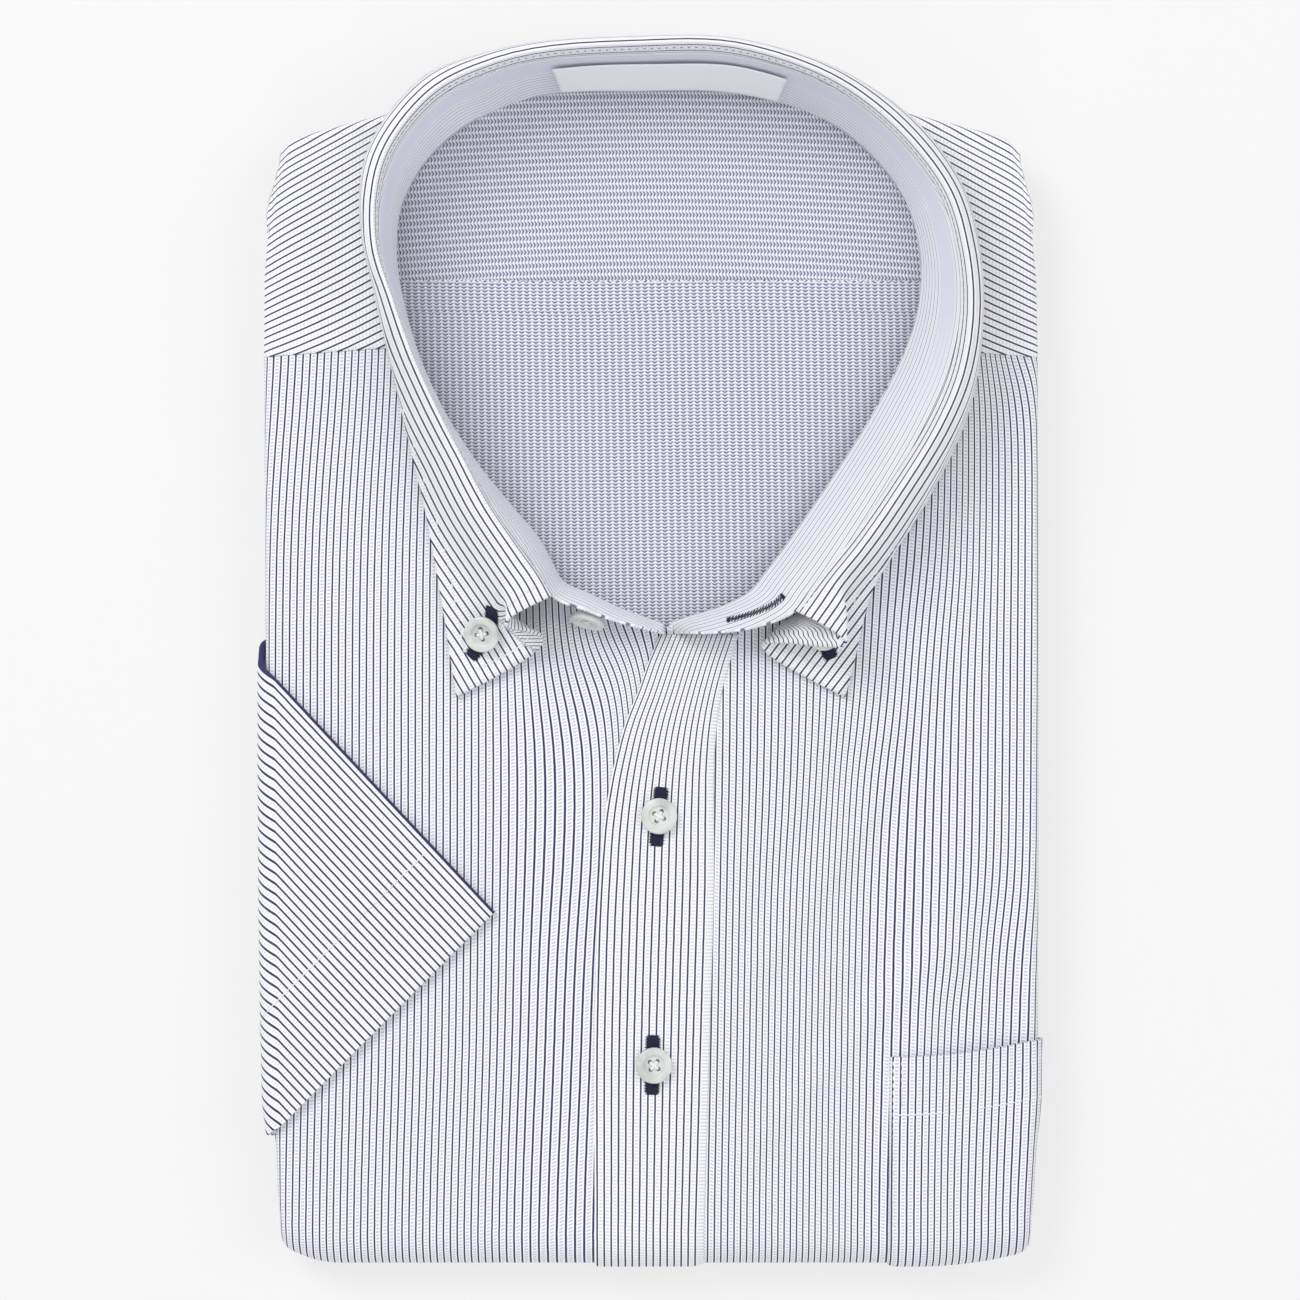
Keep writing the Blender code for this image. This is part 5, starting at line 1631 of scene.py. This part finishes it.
@dataclass
class Studio:
    """The pale floor, the soft lights and the camera straight above the shirt."""

    high: float = 1.25
    lens_pixels: float = 3862.0
    photo_pixels: float = 1300.0
    sensor: float = 36.0
    floor_half: float = 6.0
    floor_z: float = -0.0003
    sky: tuple[float, float, float, float] = (0.98, 0.985, 1.0, 1.0)
    sky_strength: float = 0.58
    lamps: Sequence[Lamp] = (
        Lamp("window_light", (-0.9, 1.0, 1.5), 1.0, 17.2),
        Lamp("fill_light", (1.2, 0.3, 1.5), 1.2, 7.5),
        Lamp("front_light", (0.0, -1.5, 1.1), 1.0, 5.0),
    )

    def floor(self) -> None:
        """Lay the floor: a wide sheet of paper a hair below the shirt."""
        share = np.linspace(-self.floor_half, self.floor_half, 9)
        x, y = np.meshgrid(share, share)
        points = np.stack([x, y, np.full_like(x, self.floor_z)], axis=-1).reshape(-1, 3)
        mesh_object("floor", points, grid_faces(*x.shape), LitPaper().material())

    def hang(self, lamp: Lamp) -> None:
        """Hang one light."""
        data = bpy.data.lights.new(lamp.name, "AREA")
        data.shape, data.size, data.energy = "SQUARE", lamp.size, lamp.power
        item = bpy.data.objects.new(lamp.name, data)
        item.location = lamp.place
        item.rotation_mode = "QUATERNION"
        item.rotation_quaternion = (-Vector(lamp.place)).to_track_quat("-Z", "Y")
        bpy.context.scene.collection.objects.link(item)

    def set_up(self) -> None:
        """Make the floor, the lights and the camera."""
        scene = bpy.context.scene
        self.floor()
        world = bpy.data.worlds.new("studio")
        world.use_nodes = True
        background = world.node_tree.nodes["Background"].inputs
        background[0].default_value, background[1].default_value = self.sky, self.sky_strength
        scene.world = world
        for lamp in self.lamps:
            self.hang(lamp)
        data = bpy.data.cameras.new("camera")
        data.sensor_width = self.sensor
        data.lens = self.sensor * self.lens_pixels / self.photo_pixels
        data.clip_start, data.clip_end = 0.05, 10.0
        camera = bpy.data.objects.new("camera", data)
        camera.location = (CENTRE[0] * MM, CENTRE[1] * MM, self.high)
        scene.collection.objects.link(camera)
        scene.camera = camera
        scene.view_settings.view_transform = "Standard"


@dataclass
class Shirt:
    """The whole folded shirt."""

    pack: Pack = field(default_factory=Pack)

    def dress(self) -> None:
        """Build every piece in order, from the hidden layers to the buttons."""
        pack = self.pack
        knit, inside = StripedKnit().material(), KnitInside().material()
        # Painted light: brighter copies of the same striped knit stand in for the extra light on the yoke
        # and leaf, the placket and the sleeve; the sleeve's copy also has wider lines.
        light = StripedKnit("light_knit", dot=(0.80, 0.80, 0.86), rest=(0.98, 0.98, 0.99)).material()
        clear = StripedKnit("placket_knit", dot=(0.72, 0.72, 0.81), rest=(0.96, 0.96, 0.98)).material()
        strong = StripedKnit("sleeve_knit", line=0.60, dot=(0.78, 0.78, 0.84), rest=(0.98, 0.98, 0.99))
        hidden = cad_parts["folded_layers"].data.materials
        hidden.clear()
        hidden.append(PlyStack().material())
        fronts, yoke, layers = Fronts(pack), Yoke(pack), "folded_layers"
        pocket, sleeve, back = Pocket(pack).surface(), Sleeve(pack).surface(), InsideBack(pack).surface()
        for piece in (
            Piece("front_right_panel", fronts.surface(Side.RIGHT), knit, 1.0, layers, "front_right"),
            Piece("front_left_panel", fronts.surface(Side.LEFT), knit, 1.0, layers, "front_left"),
            Piece("placket_band", Placket(pack).surface(), clear, 0.9, "front_left", "placket"),
            Piece("chest_pocket", pocket, knit, 0.9, "front_left", "pocket"),
            Piece("yoke_right_shoulder", yoke.lobe(Side.RIGHT), light, 1.0, layers, "yoke"),
            Piece("yoke_left_shoulder", yoke.lobe(Side.LEFT), light, 1.0, layers, ""),
            Piece("yoke_inside_ply", yoke.inside(), inside, 1.0, layers, "", "laid", "inside_cloth"),
            Piece("inside_back_panel", back, inside, 0.5, layers, "back", "laid", "inside_cloth"),
            Piece("right_sleeve", sleeve, strong.material(), 0.9, "front_right", "sleeve_right"),
        ):
            piece.make()
        stand, leaf = self.dress_collar(light)
        self.stitch(pocket, sleeve, back)
        self.fasten(stand, leaf)

    def dress_collar(self, light: bpy.types.Material) -> tuple[GridSurface, GridSurface]:
        """Build the stand, the leaf and the label.

        Args:
            light: The leaf's cloth: a brighter copy of the knit, with painted light.

        Returns:
            The surfaces of the stand and the leaf.
        """
        collar = Collar(self.pack)
        stand, plain = collar.stand()
        node = "collar_stand"
        band = Piece("collar_stand_band", stand, StandKnit().material(), 1.0, "yoke", node)
        set_attribute(band.make(), "plain", plain)
        leaf, label = collar.leaf(), collar.label()
        Piece("collar_leaf_fall", leaf, light, 1.1, node, "collar_leaf").make()
        satin = Plain("label_satin", (0.97, 0.97, 0.98), 0.45, 0.02, 0.0015, 0.00002, 0.1).material()
        Piece("neck_label_strip", label, satin, 0.3, node, "neck_label", "laid", "label_satin").make()
        thread = Thread(Plain("white_thread", (0.85, 0.85, 0.88), 0.7, 0.03).material())
        for name, rim, keep in (
            ("leaf_edge_stitching", Rim.LAST_COLUMN, slice(6, -6)),
            ("leaf_right_front_stitching", Rim.FIRST_ROW, slice(14, -3)),
            ("leaf_left_front_stitching", Rim.LAST_ROW, slice(14, -3)),
        ):
            thread.run(name, *leaf.seam(rim, 5.0, keep))
        rows = np.linspace(2.0, len(leaf.points) - 3.0, 300)
        thread.run("crest_stitching", *leaf.line(rows, np.full(len(rows), 6.0)))
        return stand, leaf

    def stitch(self, pocket: GridSurface, sleeve: GridSurface, back: GridSurface) -> None:
        """Sew the pocket's hem and side, the sleeve's hem and the seam inside the back."""
        thread = Thread(Plain("seam_thread", (0.84, 0.84, 0.88), 0.7, 0.03).material())
        raised = Thread(thread.material, height=0.34)
        down = arc_lengths(pocket.points, 0)[:, 3]
        bar = int(np.interp(Pocket.hem - 0.5, down, np.arange(len(down))))
        upper = sleeve.points.shape[0] // 2 + 6
        for name, sewn, surface, rim, distance, keep in (
            ("pocket_hem_stitching", thread, pocket, Rim.FIRST_ROW, Pocket.hem, slice(2, -4)),
            ("pocket_side_stitching", thread, pocket, Rim.FIRST_COLUMN, 1.5, slice(1, None)),
            ("pocket_bar_stitching", thread, pocket, Rim.FIRST_COLUMN, 4.2, slice(1, bar)),
            ("sleeve_hem_stitching", raised, sleeve, Rim.FIRST_COLUMN, 29.0, slice(upper, -4)),
        ):
            sewn.run(name, *surface.seam(rim, distance, keep))
        columns = np.linspace(1.0, back.points.shape[1] - 2.0, 200)
        pale = Plain("inside_seam_thread", (0.97, 0.97, 0.98), 0.7, 0.03).material()
        seam = Thread(pale, 1.3, 1.5, 0.26, 0.2)
        seam.run("inside_seam_stitching", *back.line(np.full(len(columns), 0.5), columns), 0.45)

    def fasten(self, stand: GridSurface, leaf: GridSurface) -> None:
        """Work the buttonholes and sew on the buttons.

        Args:
            stand: The collar stand, which has the neckband's hole.
            leaf: The collar leaf, with a hole at each point.
        """
        resin = PearlResin().material()
        pale = Plain("button_thread", (0.86, 0.86, 0.87), 0.6, 0.02).material()
        white = Thread(pale, width=0.27, height=0.22)
        dark = Plain("navy_thread", (0.022, 0.023, 0.055), 0.75, 0.25, 0.0005).material()
        navy = Thread(dark, width=0.21, height=0.17)
        hole = Buttonhole(navy)
        face = self.pack.top + self.pack.gap + 1.0
        buttons = [
            Button("button_front_1", (2.9, -52.7, face + 1.6), (0.0, 0.0, 1.0), 0.3),
            Button("button_front_2", (1.3, -131.8, face + 1.6), (0.0, 0.0, 1.0), 0.1),
            Button("button_collar_right", (-53.2, 5.0, 28.4), (-0.22, -0.21, 1.0), 0.2),
            Button("button_collar_left", (55.0, 5.5, 27.6), (0.12, -0.2, 1.0), 0.0),
            Button("button_neck", (-19.8, 9.3, 31.0), (-0.25, -0.93, 0.3), 0.0),
        ]
        for button in buttons:
            button.build(resin)
            button.sew(white)
        up = (0.0, 0.0, 1.0)
        hole.work("buttonhole_front_1", [(3.6, -44.4, face), (2.0, -61.5, face)], up)
        hole.work("buttonhole_front_2", [(1.0, -123.2, face), (0.6, -140.4, face)], up)
        turns = np.linspace(0.0, 1.0, 14)
        for name, surface, rows, columns in (
            ("buttonhole_collar_right", leaf, 9.2 - 4.0 * turns, 63.0 + 18.2 * turns),
            ("buttonhole_collar_left", leaf, 171.5 + 5.6 * turns, 77.0 + 5.2 * turns),
        ):
            hole.work(name, *surface.line(rows, columns))
        rows = len(stand.points) - 19 - 12.0 * turns
        loose = Buttonhole(navy, 3.0, 0.95)
        loose.work("buttonhole_neckband", *stand.line(rows, np.full(len(rows), 17.3)))


def main() -> None:
    """Build the studio and the shirt."""
    logging.basicConfig(level=logging.INFO, format="%(message)s")
    Studio().set_up()
    Shirt().dress()
    bpy.context.view_layer.update()


if __name__ == "__main__":
    main()
